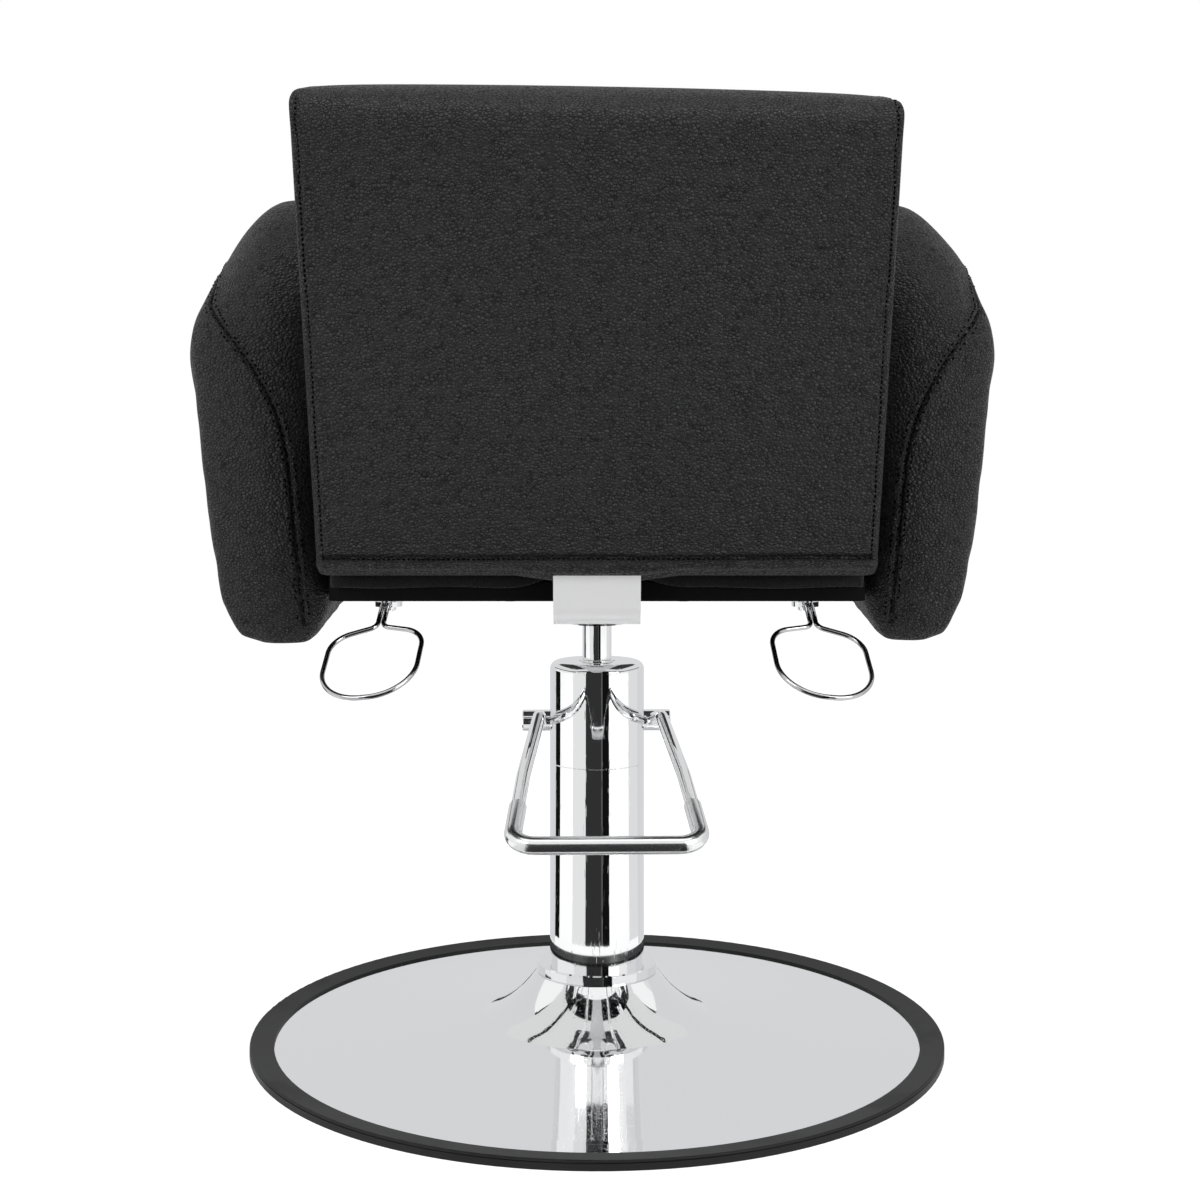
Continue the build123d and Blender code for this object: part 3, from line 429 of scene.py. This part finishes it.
dress(["base_weight", "pump_head"], cast_iron())
dress(["pump_reservoir", "seat_plate"], powder_coat())
dress(["pump_cylinder", "plunger_barrel", "piston", "pump_rocker", "pump_plunger",
       "plunger_spring"], finish_metal("turned_steel", (0.55, 0.55, 0.56), 0.24, 0.36, 0.8))
dress(["guide_bush", "thrust_washer"], finish_metal("bronze", (0.60, 0.43, 0.22), 0.26, 0.4, 0.8))
dress(["base_bolts", "cap_screw", "plate_bolts", "back_screws", "arm_bolts", "holder_screws"],
      finish_metal("zinc_plate", (0.64, 0.65, 0.67), 0.28, 0.42, 0.6))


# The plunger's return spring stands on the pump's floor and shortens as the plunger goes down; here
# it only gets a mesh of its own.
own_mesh(nodes["plunger_spring"])


# ---- boards -----------------------------------------------------------------
# The back and arms hold panels of birch plywood. The seat's board is plywood too, covered
# below with black non-woven lining stretched over its edges.


def plywood():
    material, add, link = shader("birch_plywood")
    place = add("ShaderNodeTexCoord").outputs["Object"]
    board = add("ShaderNodeBsdfPrincipled")
    board.inputs["Roughness"].default_value = 0.6
    along = add("ShaderNodeMapping")
    along.inputs["Scale"].default_value = (1.0, 0.12, 1.0)
    link(place, along.inputs["Vector"])
    tone = add("ShaderNodeValToRGB")
    tone.color_ramp.elements[0].color = (0.42, 0.29, 0.17, 1)
    tone.color_ramp.elements[1].color = (0.66, 0.51, 0.34, 1)
    grain = noise_of(add, link, along.outputs[0], 120.0, 6.0, 0.65)
    link(grain, tone.inputs[0])
    link(tone.outputs[0], board.inputs["Base Color"])
    bump = add("ShaderNodeBump")
    bump.inputs["Strength"].default_value = 0.3
    bump.inputs["Distance"].default_value = 0.0002
    link(grain, bump.inputs["Height"])
    link(bump.outputs[0], board.inputs["Normal"])
    link(board.outputs[0], add("ShaderNodeOutputMaterial").inputs["Surface"])
    return material


def black_lining():
    material, add, link = shader("black_lining")
    place = add("ShaderNodeTexCoord").outputs["Object"]
    cloth = add("ShaderNodeBsdfPrincipled")
    cloth.inputs["Roughness"].default_value = 0.9
    cloth.inputs["Specular IOR Level"].default_value = 0.1
    tone = add("ShaderNodeValToRGB")
    tone.color_ramp.elements[0].color = (0.0020, 0.0020, 0.0022, 1)
    tone.color_ramp.elements[1].color = (0.0070, 0.0070, 0.0075, 1)
    fibres = noise_of(add, link, place, 700.0, 4.0, 0.7)
    link(fibres, tone.inputs[0])
    link(tone.outputs[0], cloth.inputs["Base Color"])
    bump = add("ShaderNodeBump")
    bump.inputs["Strength"].default_value = 0.6
    bump.inputs["Distance"].default_value = 0.0002
    link(fibres, bump.inputs["Height"])
    link(bump.outputs[0], cloth.inputs["Normal"])
    link(cloth.outputs[0], add("ShaderNodeOutputMaterial").inputs["Surface"])
    return material


dress(["back_board", "arm_panel_left", "arm_panel_right"], plywood())
dress(["seat_board"], black_lining())


# ---- padded back ------------------------------------------------------------
# Foam on both faces of a board, in black pebbled artificial leather. One panel runs from
# the rear hem over the top and down the front; narrow strips close its sides, and the seam
# between them is topstitched. The rear hem is a rolled lip that hides the carrier's pocket.


def leather_group():
    """Pebbled grain: the height of its rounded pebbles, and how deep in a crease a point lies."""
    group, add, link, inside, outside = new_group(
        "pebbled_grain",
        [("Vector", "NodeSocketVector", None), ("Pebbles", "NodeSocketFloat", 300.0)],
        [("Height", "NodeSocketFloat"), ("Crease", "NodeSocketFloat")])
    place = inside.outputs["Vector"]
    drift = add("ShaderNodeTexNoise")
    drift.inputs["Scale"].default_value = 240.0
    drift.inputs["Detail"].default_value = 1.0
    link(place, drift.inputs["Vector"])
    centred = add("ShaderNodeVectorMath")
    centred.operation = "SUBTRACT"
    centred.inputs[1].default_value = (0.5, 0.5, 0.5)
    link(drift.outputs["Color"], centred.inputs[0])
    scaled = add("ShaderNodeVectorMath")
    scaled.operation = "SCALE"
    scaled.inputs["Scale"].default_value = 0.0022
    link(centred.outputs[0], scaled.inputs[0])
    moved = add("ShaderNodeVectorMath")
    link(place, moved.inputs[0])
    link(scaled.outputs[0], moved.inputs[1])
    flattened = add("ShaderNodeMapping")
    flattened.inputs["Scale"].default_value = (0.85, 1.0, 1.12)
    link(moved.outputs[0], flattened.inputs["Vector"])

    def cells(feature):
        node = add("ShaderNodeTexVoronoi")
        node.feature = feature
        link(flattened.outputs[0], node.inputs["Vector"])
        link(inside.outputs["Pebbles"], node.inputs["Scale"])
        return node.outputs["Distance"]

    dome = mapped(add, link, cells("F1"), 0.08, 0.72, 1.0, 0.0)
    edge = cells("DISTANCE_TO_EDGE")
    fine = noise_of(add, link, place, 1300.0, 2.0)
    rough = add("ShaderNodeMath")
    rough.operation = "MULTIPLY_ADD"
    rough.inputs[1].default_value = 0.16
    link(fine, rough.inputs[0])
    link(dome, rough.inputs[2])
    trough = mapped(add, link, edge, 0.0, 0.18, -0.5, 0.0)
    total = add("ShaderNodeMath")
    link(rough.outputs[0], total.inputs[0])
    link(trough, total.inputs[1])
    link(total.outputs[0], outside.inputs["Height"])
    depth = mapped(add, link, noise_of(add, link, place, 130.0, 2.0), 0.3, 0.7, 0.6, 1.0)
    crease = add("ShaderNodeMath")
    crease.operation = "MULTIPLY"
    link(mapped(add, link, edge, 0.02, 0.22, 1.0, 0.0), crease.inputs[0])
    link(depth, crease.inputs[1])
    link(crease.outputs[0], outside.inputs["Crease"])
    return group


grain_group = leather_group()


def leather(name, dark, light, relief):
    """Artificial leather whose tone wanders from dark to light, with painted shade in its grain's
    creases; relief is its pebbles' height.
    """
    material, add, link = shader(name)
    place = add("ShaderNodeTexCoord").outputs["Object"]
    grain = use_group(add, link, grain_group, place, Pebbles=400.0)
    skin = add("ShaderNodeBsdfPrincipled")
    skin.inputs["Specular IOR Level"].default_value = 0.32
    cloud = noise_of(add, link, place, 7.0, 3.0)
    tone = add("ShaderNodeMix")
    tone.data_type = "RGBA"
    tone.inputs["A"].default_value = (dark, dark, 1.03 * dark, 1)
    tone.inputs["B"].default_value = (light, light, 1.03 * light, 1)
    link(cloud, tone.inputs["Factor"])
    # Painted shade: the colour goes almost black in the grain's creases.
    shade = add("ShaderNodeMix")
    shade.data_type = "RGBA"
    shade.inputs["B"].default_value = (0.0010, 0.0010, 0.0010, 1)
    link(grain.outputs["Crease"], shade.inputs["Factor"])
    link(tone.outputs["Result"], shade.inputs["A"])
    link(shade.outputs["Result"], skin.inputs["Base Color"])
    link(mapped(add, link, grain.outputs["Crease"], 0.0, 1.0, 0.38, 0.8), skin.inputs["Roughness"])
    bump = add("ShaderNodeBump")
    bump.inputs["Strength"].default_value = 0.9
    bump.inputs["Distance"].default_value = relief
    link(grain.outputs["Height"], bump.inputs["Height"])
    link(bump.outputs[0], skin.inputs["Normal"])
    link(skin.outputs[0], add("ShaderNodeOutputMaterial").inputs["Surface"])
    return material


def thread():
    material, add, link = shader("black_thread")
    place = add("ShaderNodeTexCoord").outputs["Object"]
    strand = add("ShaderNodeBsdfPrincipled")
    strand.inputs["Roughness"].default_value = 0.85
    strand.inputs["Specular IOR Level"].default_value = 0.02
    tone = add("ShaderNodeValToRGB")
    tone.color_ramp.elements[0].color = (0.0006, 0.0006, 0.0006, 1)
    tone.color_ramp.elements[1].color = (0.0018, 0.0018, 0.0020, 1)
    link(noise_of(add, link, place, 2500.0, 1.0), tone.inputs[0])
    link(tone.outputs[0], strand.inputs["Base Color"])
    link(strand.outputs[0], add("ShaderNodeOutputMaterial").inputs["Surface"])
    return material


black_leather = leather("black_leather", 0.0205, 0.0255, 0.0009)
# Painted shade: a darker copy of the leather, with almost no grain, for the fold that lies under
# the rolled hem.
fold_leather_painted_shade = leather("black_leather_turned_under_painted_shade", 0.006, 0.008, 0.0001)
black_thread = thread()


def points_of(piece):
    flat = np.empty(len(piece.data.vertices) * 3)
    piece.data.vertices.foreach_get("co", flat)
    return flat.reshape(-1, 3)


def set_points(piece, points):
    piece.data.vertices.foreach_set("co", points.ravel())
    piece.data.update()


def apply_modifier(piece, modifier):
    bpy.ops.object.select_all(action="DESELECT")
    piece.select_set(True)
    bpy.context.view_layer.objects.active = piece
    bpy.ops.object.modifier_apply(modifier=modifier.name)


def padding(name, sources, voxel, convex, straighten=None):
    """The outer skin of some CAD solids as one closed mesh of small even faces.

    straighten may turn the points to a frame in which the piece is square."""
    skin = bmesh.new()
    for source in sources:
        skin.from_mesh(nodes[source].data)
    bmesh.ops.remove_doubles(skin, verts=skin.verts, dist=1e-5)
    if convex:
        hull = bmesh.ops.convex_hull(skin, input=skin.verts)
        kept = {f for f in hull["geom"] if isinstance(f, bmesh.types.BMFace)}
        bmesh.ops.delete(skin, geom=[f for f in skin.faces if f not in kept], context="FACES")
        bmesh.ops.delete(skin, geom=[v for v in skin.verts if not v.link_faces], context="VERTS")
    else:
        keep_outer_shell(skin)
    mesh = bpy.data.meshes.new(name)
    skin.to_mesh(mesh)
    skin.free()
    piece = bpy.data.objects.new(name, mesh)
    scene.collection.objects.link(piece)
    if straighten:
        set_points(piece, straighten(points_of(piece)))
    even = piece.modifiers.new("even", "REMESH")
    even.mode = "VOXEL"
    even.voxel_size = voxel
    apply_modifier(piece, even)
    return piece


def smoothed(piece, values, rounds):
    """Values of the piece's points, evened out between neighbours."""
    edges = np.empty(len(piece.data.edges) * 2, dtype=np.int64)
    piece.data.edges.foreach_get("vertices", edges)
    one, other = edges.reshape(-1, 2).T
    count = np.bincount(edges, minlength=len(values))[:, None]
    for _ in range(rounds):
        total = np.stack([np.bincount(one, values[other, k], len(values))
                          + np.bincount(other, values[one, k], len(values)) for k in range(3)], 1)
        values = 0.5 * values + 0.5 * total / count
    return values


def fair(piece, rounds, regain=2):
    """Smooths the piece's shape, and puts back what it lost in size."""
    start = points_of(piece)
    shape = smoothed(piece, start, rounds)
    for _ in range(regain):
        shape = shape + smoothed(piece, start - shape, rounds)
    set_points(piece, shape)


def keep_outer_shell(skin):
    """Deletes every shell but the tallest, such as the walls of inner hollows."""
    left = set(skin.faces)
    shells = []
    while left:
        shell, edge = set(), {left.pop()}
        while edge:
            face = edge.pop()
            shell.add(face)
            for side in face.edges:
                for other in side.link_faces:
                    if other in left:
                        left.remove(other)
                        edge.add(other)
        shells.append(shell)

    def reach(shell):
        heights = [v.co.z for face in shell for v in face.verts]
        return max(heights) - min(heights)

    outer = max(shells, key=reach)
    bmesh.ops.delete(skin, geom=[f for f in skin.faces if f not in outer], context="FACES")
    bmesh.ops.delete(skin, geom=[v for v in skin.verts if not v.link_faces], context="VERTS")


def settle_foam(piece, pinned, cap, pressure=4.0):
    """Cloth under pressure from the foam, held where pinned is true, no point moved past cap."""
    start = points_of(piece)
    group = piece.vertex_groups.new(name="held")
    group.add([int(i) for i in np.nonzero(pinned)[0]], 1.0, "REPLACE")
    cloth = piece.modifiers.new("foam", "CLOTH")
    cloth.settings.quality = 5
    cloth.settings.mass = 0.3
    cloth.settings.tension_stiffness = 20
    cloth.settings.compression_stiffness = 20
    cloth.settings.bending_stiffness = 0.8
    cloth.settings.use_pressure = True
    cloth.settings.uniform_pressure_force = pressure
    cloth.settings.effector_weights.gravity = 0.0
    cloth.settings.vertex_group_mass = "held"
    cloth.collision_settings.use_self_collision = False
    for step in range(1, 21):
        scene.frame_set(step)
    apply_modifier(piece, cloth)
    scene.frame_set(1)
    shift = points_of(piece) - start
    length = np.linalg.norm(shift, axis=1, keepdims=True)
    eased = cap * np.tanh(length / cap)
    set_points(piece, start + shift * eased / np.maximum(length, 1e-9))
    piece.vertex_groups.clear()
    soften = piece.modifiers.new("soften", "SMOOTH")
    soften.factor = 0.5
    soften.iterations = 1
    apply_modifier(piece, soften)


def subdivide_all(piece):
    finer = piece.modifiers.new("finer", "SUBSURF")
    finer.levels = finer.render_levels = 1
    apply_modifier(piece, finer)


def line_through(points, spacing):
    """Evenly spaced points on a smooth line through some points."""
    smooth = [Vector(p) for p in points]
    for _ in range(4):
        denser = [smooth[0]]
        for i in range(len(smooth) - 1):
            before = smooth[max(i - 1, 0)]
            after = smooth[min(i + 2, len(smooth) - 1)]
            a, b = smooth[i], smooth[i + 1]
            middle = (a + b) * 0.5625 - (before + after) * 0.0625
            denser += [middle, b]
        smooth = denser
    out, carried = [smooth[0]], 0.0
    for a, b in zip(smooth, smooth[1:]):
        length = (b - a).length
        place = spacing - carried
        while place <= length:
            out.append(a.lerp(b, place / length))
            place += spacing
        carried = length - (place - spacing)
    return out


def on_surface(piece, points):
    """Each point moved to the nearest point of the piece's surface, with the normal there."""
    work = bmesh.new()
    work.from_mesh(piece.data)
    tree = BVHTree.FromBMesh(work)
    work.free()
    found = [tree.find_nearest(p) for p in points]
    return [hit[0] for hit in found], [hit[1] for hit in found]


def sew(piece, route, depth, width, puff=0.0, refine=(0.008, 0.0045)):
    """Pulls the leather in along a seam, and lets it stand proud beside it."""
    line, _ = on_surface(piece, line_through(route, 0.0006))
    near = kdtree.KDTree(len(line))
    for i, p in enumerate(line):
        near.insert(p, i)
    near.balance()
    work = bmesh.new()
    work.from_mesh(piece.data)
    for reach in refine:
        close = {v for v in work.verts if near.find(v.co)[2] < reach}
        edges = [e for e in work.edges if e.verts[0] in close and e.verts[1] in close]
        bmesh.ops.subdivide_edges(work, edges=edges, cuts=1, use_grid_fill=True, smooth=0.0)
    work.normal_update()
    moves = {}
    for v in work.verts:
        gap = near.find(v.co)[2]
        if gap < 0.02:
            groove = -depth * np.exp(-(gap / width) ** 2)
            bulge = puff * np.exp(-((gap - 3.2 * width) / (1.8 * width)) ** 2)
            moves[v] = v.normal * float(groove + bulge)
    for v, move in moves.items():
        v.co += move
    work.to_mesh(piece.data)
    work.free()


def stitches(name, piece, rows, body, pitch=0.0038):
    """Rows of short thread stitches: each row is a route on the piece and how far beside it."""
    bpy.ops.object.select_all(action="DESELECT")
    bpy.ops.mesh.primitive_uv_sphere_add(segments=6, ring_count=5, radius=1.0)
    pattern = bpy.context.object
    pattern.data.transform(Matrix.Diagonal((0.00085, 0.00055, 0.00125, 1.0)))
    shape = points_of(pattern)
    faces = [tuple(p.vertices) for p in pattern.data.polygons]
    bpy.data.objects.remove(pattern)
    all_points, all_faces = [], []
    for route, aside, sunk in rows:
        line, normals = on_surface(piece, line_through(route, pitch))
        shifted = []
        for i, point in enumerate(line):
            tangent = (line[min(i + 1, len(line) - 1)] - line[max(i - 1, 0)]).normalized()
            shifted.append(point + tangent.cross(normals[i]).normalized() * aside)
        line, normals = on_surface(piece, shifted)
        for i in range(1, len(line) - 1):
            tangent = (line[i + 1] - line[i - 1]).normalized()
            outward = (normals[i] - tangent * normals[i].dot(tangent)).normalized()
            across = tangent.cross(outward)
            turn = np.array([across, outward, tangent])
            base = len(all_points) * len(shape)
            all_points.append(shape @ turn + np.array(line[i] - outward * sunk))
            all_faces += [tuple(base + k for k in face) for face in faces]
    mesh = bpy.data.meshes.new(name)
    mesh.from_pydata(np.concatenate(all_points).tolist(), [], all_faces)
    mesh.shade_smooth()
    thread_piece = bpy.data.objects.new(name, mesh)
    scene.collection.objects.link(thread_piece)
    mesh.materials.append(black_thread)
    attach(thread_piece, body)
    return thread_piece


recline = radians(12)
rear_normal = np.array([0, cos(recline), -sin(recline)])
back_rise = np.array([0, sin(recline), cos(recline)])
cover_points = points_of(nodes["back_cover"])
rear_face = float((cover_points @ rear_normal).max())
back_top = float((cover_points @ back_rise).max())
back_hem = float((cover_points @ back_rise).min())
back_half_top = float(cover_points[:, 0].max())
hem_points = cover_points[cover_points @ back_rise < back_hem + 0.01]
back_half_foot = float(hem_points[:, 0].max())
top_roll = 0.027
foam_spread = 1.011  # the stuffed sides stand a little outside the board's line
back_lean = 0.018    # the sitter's left of the top sits a few millimetres higher
front_roll = 0.020   # rounds: top to front, side seams, sides to front, and the top's ends
seam_round = 0.0035
front_round = 0.012
end_round = 0.007
foam_voxel = 0.005
foam_swell = 0.006   # how far the foam may push the leather out
hem_roll = 0.0145    # height of the rolled hem, how far it bulges, and how far it is drawn up
hem_bulge = 0.0050
hem_lift = 0.0042
carrier_clear = 0.036


def back_half_width(up):
    share = (up - back_hem) / (back_top - back_hem)
    return back_half_foot + (back_half_top - back_half_foot) * share


def straightened(points):
    """Points of the back as across, in from the rear face, and up, with its flare taken out."""
    up = points @ back_rise
    across = points[:, 0] * back_half_top / back_half_width(up)
    return np.stack([across, rear_face - points @ rear_normal, up], 1)


def reclined(points):
    across, deep, up = points.T
    place = np.outer(rear_face - deep, rear_normal) + np.outer(up, back_rise)
    place[:, 0] += across * back_half_width(up) / back_half_top
    return place


def round_corner(a, b, radius_a, radius_b):
    """Two depths inside faces that meet square, moved so that the faces meet in a round."""
    p, q = (radius_a - a) / radius_a, (radius_b - b) / radius_b
    within = (p > 0) & (q > 0) & (np.maximum(p, q) > 0.6)
    scale = np.where(within, 1.0 / np.maximum(np.hypot(p, q), 1e-9), 1.0)
    return radius_a - p * scale * radius_a, radius_b - q * scale * radius_b


back = padding("back_upholstery", ["back_cover", "back_pad"], foam_voxel, True, straightened)
points = points_of(back)
thick = float(points[:, 1].max())


def round_off(points, edge_of, other_of, radius):
    """Rounds the edge between two faces of the square back.

    Each face is given by its axis, its place and the side it is on."""
    (axis_a, place_a, side_a), (axis_b, place_b, side_b) = edge_of, other_of
    a, b = side_a * (place_a - points[:, axis_a]), side_b * (place_b - points[:, axis_b])
    new_a, new_b = round_corner(a, b, radius, radius)
    points[:, axis_a] += side_a * (a - new_a)
    points[:, axis_b] += side_b * (b - new_b)


rear_side, front_side, top_side = (1, 0.0, -1), (1, thick, 1), (2, back_top, 1)
round_off(points, top_side, rear_side, top_roll)
round_off(points, top_side, front_side, front_roll)
for side in (1, -1):
    edge_side = (0, side * back_half_top, side)
    round_off(points, edge_side, rear_side, seam_round)
    round_off(points, edge_side, front_side, front_round)
    round_off(points, edge_side, top_side, end_round)
rise, edge = points[:, 2].copy(), back_half_top - np.abs(points[:, 0])
points[:, 0] *= foam_spread
share_up = np.clip((rise - back_hem) / (back_top - back_hem), 0, 1)
points[:, 2] += back_lean * points[:, 0] * share_up
rear_panel = points[:, 1] < 0.004
set_points(back, reclined(points))
back.data.flip_normals()
fair(back, 3, 1)
settle_foam(back, (edge < 0.010) | (rise < back_hem + 0.02) | rear_panel, foam_swell)
subdivide_all(back)
points = straightened(points_of(back))
lip = np.clip((points[:, 2] - back_hem) / hem_roll, 0, 1)
near_rear = np.clip(1 - points[:, 1] / 0.012, 0, 1)
away = np.clip((np.abs(points[:, 0]) - carrier_clear) / 0.03, 0, 1)
points[:, 1] -= hem_bulge * np.sin(pi * lip) ** 0.8 * near_rear
points[:, 2] += hem_lift * (1 - lip) * away
set_points(back, reclined(points))


def back_route(side):
    """Side seam of the back: up the rear face, over the top and down the front."""
    line = []
    front = float((points_of(nodes["back_pad"]) @ rear_normal).min())
    thick = rear_face - front
    for share in np.linspace(0.03, 1.0, 12):
        up = back_hem + (back_top - 0.03 - back_hem) * share
        line.append((up, 0.0))
    line += [(back_top - 0.009, 0.009), (back_top, 0.03), (back_top, thick - 0.03),
             (back_top - 0.009, thick - 0.009)]
    for share in np.linspace(1.0, 0.25, 10):
        line.append((back_hem + (back_top - 0.03 - back_hem) * share, thick))
    out = []
    for up, deep in line:
        inset = 0.0042 - 0.0020 * (up - back_hem) / (back_top - back_hem)
        x = side * (back_half_width(up) - inset)
        spot = back_rise * up + rear_normal * (rear_face - deep)
        out.append(Vector((x, spot[1], spot[2])))
    return out


hem_up = back_hem + hem_roll
hem_line = []
for share in np.linspace(-1, 1, 15):
    wave = 0.0006 * sin(7.0 * share + 0.6) - 0.0006 * share
    spot = back_rise * (hem_up + wave) + rear_normal * rear_face
    hem_line.append(Vector((share * (back_half_width(hem_up) - 0.006), spot[1], spot[2])))
back_rows = []
for side in (1, -1):
    route = back_route(side)
    sew(back, route, 0.0008, 0.0011, 0.0003)
    back_rows.append((route, 0.0, 0.0))
sew(back, hem_line, 0.0018, 0.0014, 0.0014)
back_rows.append((hem_line, 0.0, 0.0))
back.data.shade_smooth()
back.data.materials.append(black_leather)
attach(back, "seat")
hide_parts("back_cover", "back_pad")
stitches("back_topstitching", back, back_rows, "seat")


# ---- fold under the back ----------------------------------------------------
# Below the rolled hem the leather turns under and is stapled along the edge of the seat's
# board. It shows as one flat fold, drawn up a little on both sides of the carrier, and its
# leather is a darker copy: painted shade under the hem.

bpy.ops.object.select_all(action="DESELECT")
bpy.ops.mesh.primitive_grid_add(x_subdivisions=120, y_subdivisions=8, size=1.0)
fold = bpy.context.object
fold.name = fold.data.name = "back_hem_fold"
board_low, board_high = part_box("seat_board")
fold_top, fold_foot = board_high.z + 0.010, board_high.z - 0.0045
points = points_of(fold)
across, down = points[:, 0] * 2 * (board_high.x - 0.003), 0.5 - points[:, 1]
drawn_up = 0.0085 * np.exp(-((np.abs(across) - 0.03) / 0.022) ** 2)
drawn_up += 0.0006 * np.sin(across * 61.0 + 0.8)
points[:, 0] = across
points[:, 1] = board_high.y + 0.0050 + 0.0014 * np.sin(pi * down)
points[:, 1] += 0.0010 * np.sin(across * 38.0) * down
points[:, 1] += 0.030 * (1 - down) * (fold_top - fold_foot)
points[:, 2] = fold_top + (fold_foot + drawn_up - fold_top) * down
set_points(fold, points)
fold.data.flip_normals()
wall = fold.modifiers.new("wall", "SOLIDIFY")
wall.thickness = 0.0022
wall.offset = -1.0
apply_modifier(fold, wall)
subdivide_all(fold)
fold.data.shade_smooth()
fold.data.materials.append(fold_leather_painted_shade)
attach(fold, "seat")


# ---- arms -------------------------------------------------------------------
# A plywood panel in thick foam on each side. Two leather panels cover it: one wraps the
# inside and the top, one the outside. They meet in a seam with a row of stitches each side.

arm_middle = (0.257, 0.60)  # across and up, in the middle of the shoulder's foam
arm_drift = 0.0037          # both arms' foam is pulled a little to the sitter's left
arm_swell = 0.0015          # how far the foam may push the leather out
arm_round_from = 0.262      # the rear rounds off inwards from here, by this radius
arm_round = 0.048
seam_aside = 0.0027         # how far each row of stitches stands from the seam


def swelling(angle, at, width, amount):
    return amount * np.exp(-((angle - radians(at)) / radians(width)) ** 2)


for word, side in (("left", 1), ("right", -1)):
    pad = "arm_pad_" + word
    low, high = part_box(pad)
    arm = padding("arm_upholstery_" + word, [pad], foam_voxel, False)
    fair(arm, 3, 1)
    crisp = points_of(arm)
    fair(arm, 36, 2)
    soft = np.clip((crisp[:, 2:] - 0.40) / 0.06, 0, 1)
    points = crisp + (points_of(arm) - crisp) * soft
    across, up = side * points[:, 0] - arm_middle[0], points[:, 2] - arm_middle[1]
    angle, length = np.arctan2(across, up), np.maximum(np.hypot(across, up), 1e-6)
    swell = swelling(angle, 46, 15, -0.0064) + swelling(angle, 90, 18, 0.0020)
    swell += (1 + side) / 2 * (swelling(angle, 2, 12, 0.005) + swelling(angle, 30, 12, -0.003))
    points[:, 0] += side * swell * across / length
    points[:, 2] += swell * up / length
    outer = np.clip((side * points[:, 0] - 0.235) / 0.05, 0, 1)
    points[:, 0] += arm_drift * outer
    heel = np.clip((0.44 - points[:, 2]) / 0.07, 0, 1)
    points[:, 2] -= (0.0028 + 0.0012 * side) * heel
    points[:, 0] += side * (0.0018 + 0.0008 * side) * heel * outer
    reach = side * points[:, 0]
    inside = np.clip((arm_round_from - reach) / arm_round, 0, 0.999)
    pull = arm_round * (1 - np.sqrt(1 - inside ** 2))
    rear = np.clip((points[:, 1] - 0.05) / 0.10, 0, 1)
    lower = np.clip((0.69 - points[:, 2]) / 0.07, 0, 1)
    points[:, 1] -= pull * rear * lower
    set_points(arm, points)
    settle_foam(arm, reach < 0.222, arm_swell)
    subdivide_all(arm)
    rear_seam = [(0.308, 0.150, 0.670), (0.310, 0.190, 0.643), (0.278, 0.212, 0.602),
                 (0.254, 0.213, 0.563), (0.239, 0.213, 0.517), (0.229, 0.210, 0.439),
                 (0.220, 0.205, 0.385)]
    front_seam = [(x, -y * high.y / 0.214 - 0.004, z) for x, y, z in reversed(rear_seam)]
    top_seam = [(0.306, -0.07, 0.684), (0.306, 0.0, 0.686), (0.306, 0.07, 0.684)]
    seam = [Vector((side * x, y, z)) for x, y, z in front_seam + top_seam + rear_seam]
    sew(arm, seam, 0.0022, 0.0013, 0.0006)
    arm.data.shade_smooth()
    arm.data.materials.append(black_leather)
    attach(arm, "seat")
    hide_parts(pad)
    arm_rows = [(seam, seam_aside, 0.0), (seam, -seam_aside, 0.0)]
    stitches("arm_topstitching_" + word, arm, arm_rows, "seat")


# ---- seat cushion -----------------------------------------------------------
# A thick foam cushion on the seat's board, in the same leather: a top panel that rolls
# over the front, and boxed sides sewn to it.

cushion = padding("seat_cushion_upholstery", ["seat_cushion"], foam_voxel, True)
fair(cushion, 6, 1)
low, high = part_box("seat_cushion")
points = points_of(cushion)
points[:, 0] *= 1 - 0.004 / high.x
held = (high.x - 0.004 - np.abs(points[:, 0]) < 0.006) | (points[:, 2] < low.z + 0.006)
set_points(cushion, points)
settle_foam(cushion, held, 0.012)
subdivide_all(cushion)
cushion_rows = []
for side in (1, -1):
    x = side * (high.x - 0.018)
    route = [(x, high.y - 0.01, high.z - 0.004), (x, 0.05, high.z),
             (x, low.y + 0.06, high.z - 0.004), (x, low.y + 0.012, high.z - 0.02),
             (x, low.y, high.z - 0.05), (x, low.y, low.z + 0.02)]
    route = [Vector(p) for p in route]
    sew(cushion, route, 0.0022, 0.0014, 0.0008)
    cushion_rows.append((route, -0.0036 * side, 0.0))
cushion.data.shade_smooth()
cushion.data.materials.append(black_leather)
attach(cushion, "seat")
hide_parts("seat_cushion")
stitches("seat_topstitching", cushion, cushion_rows, "seat")
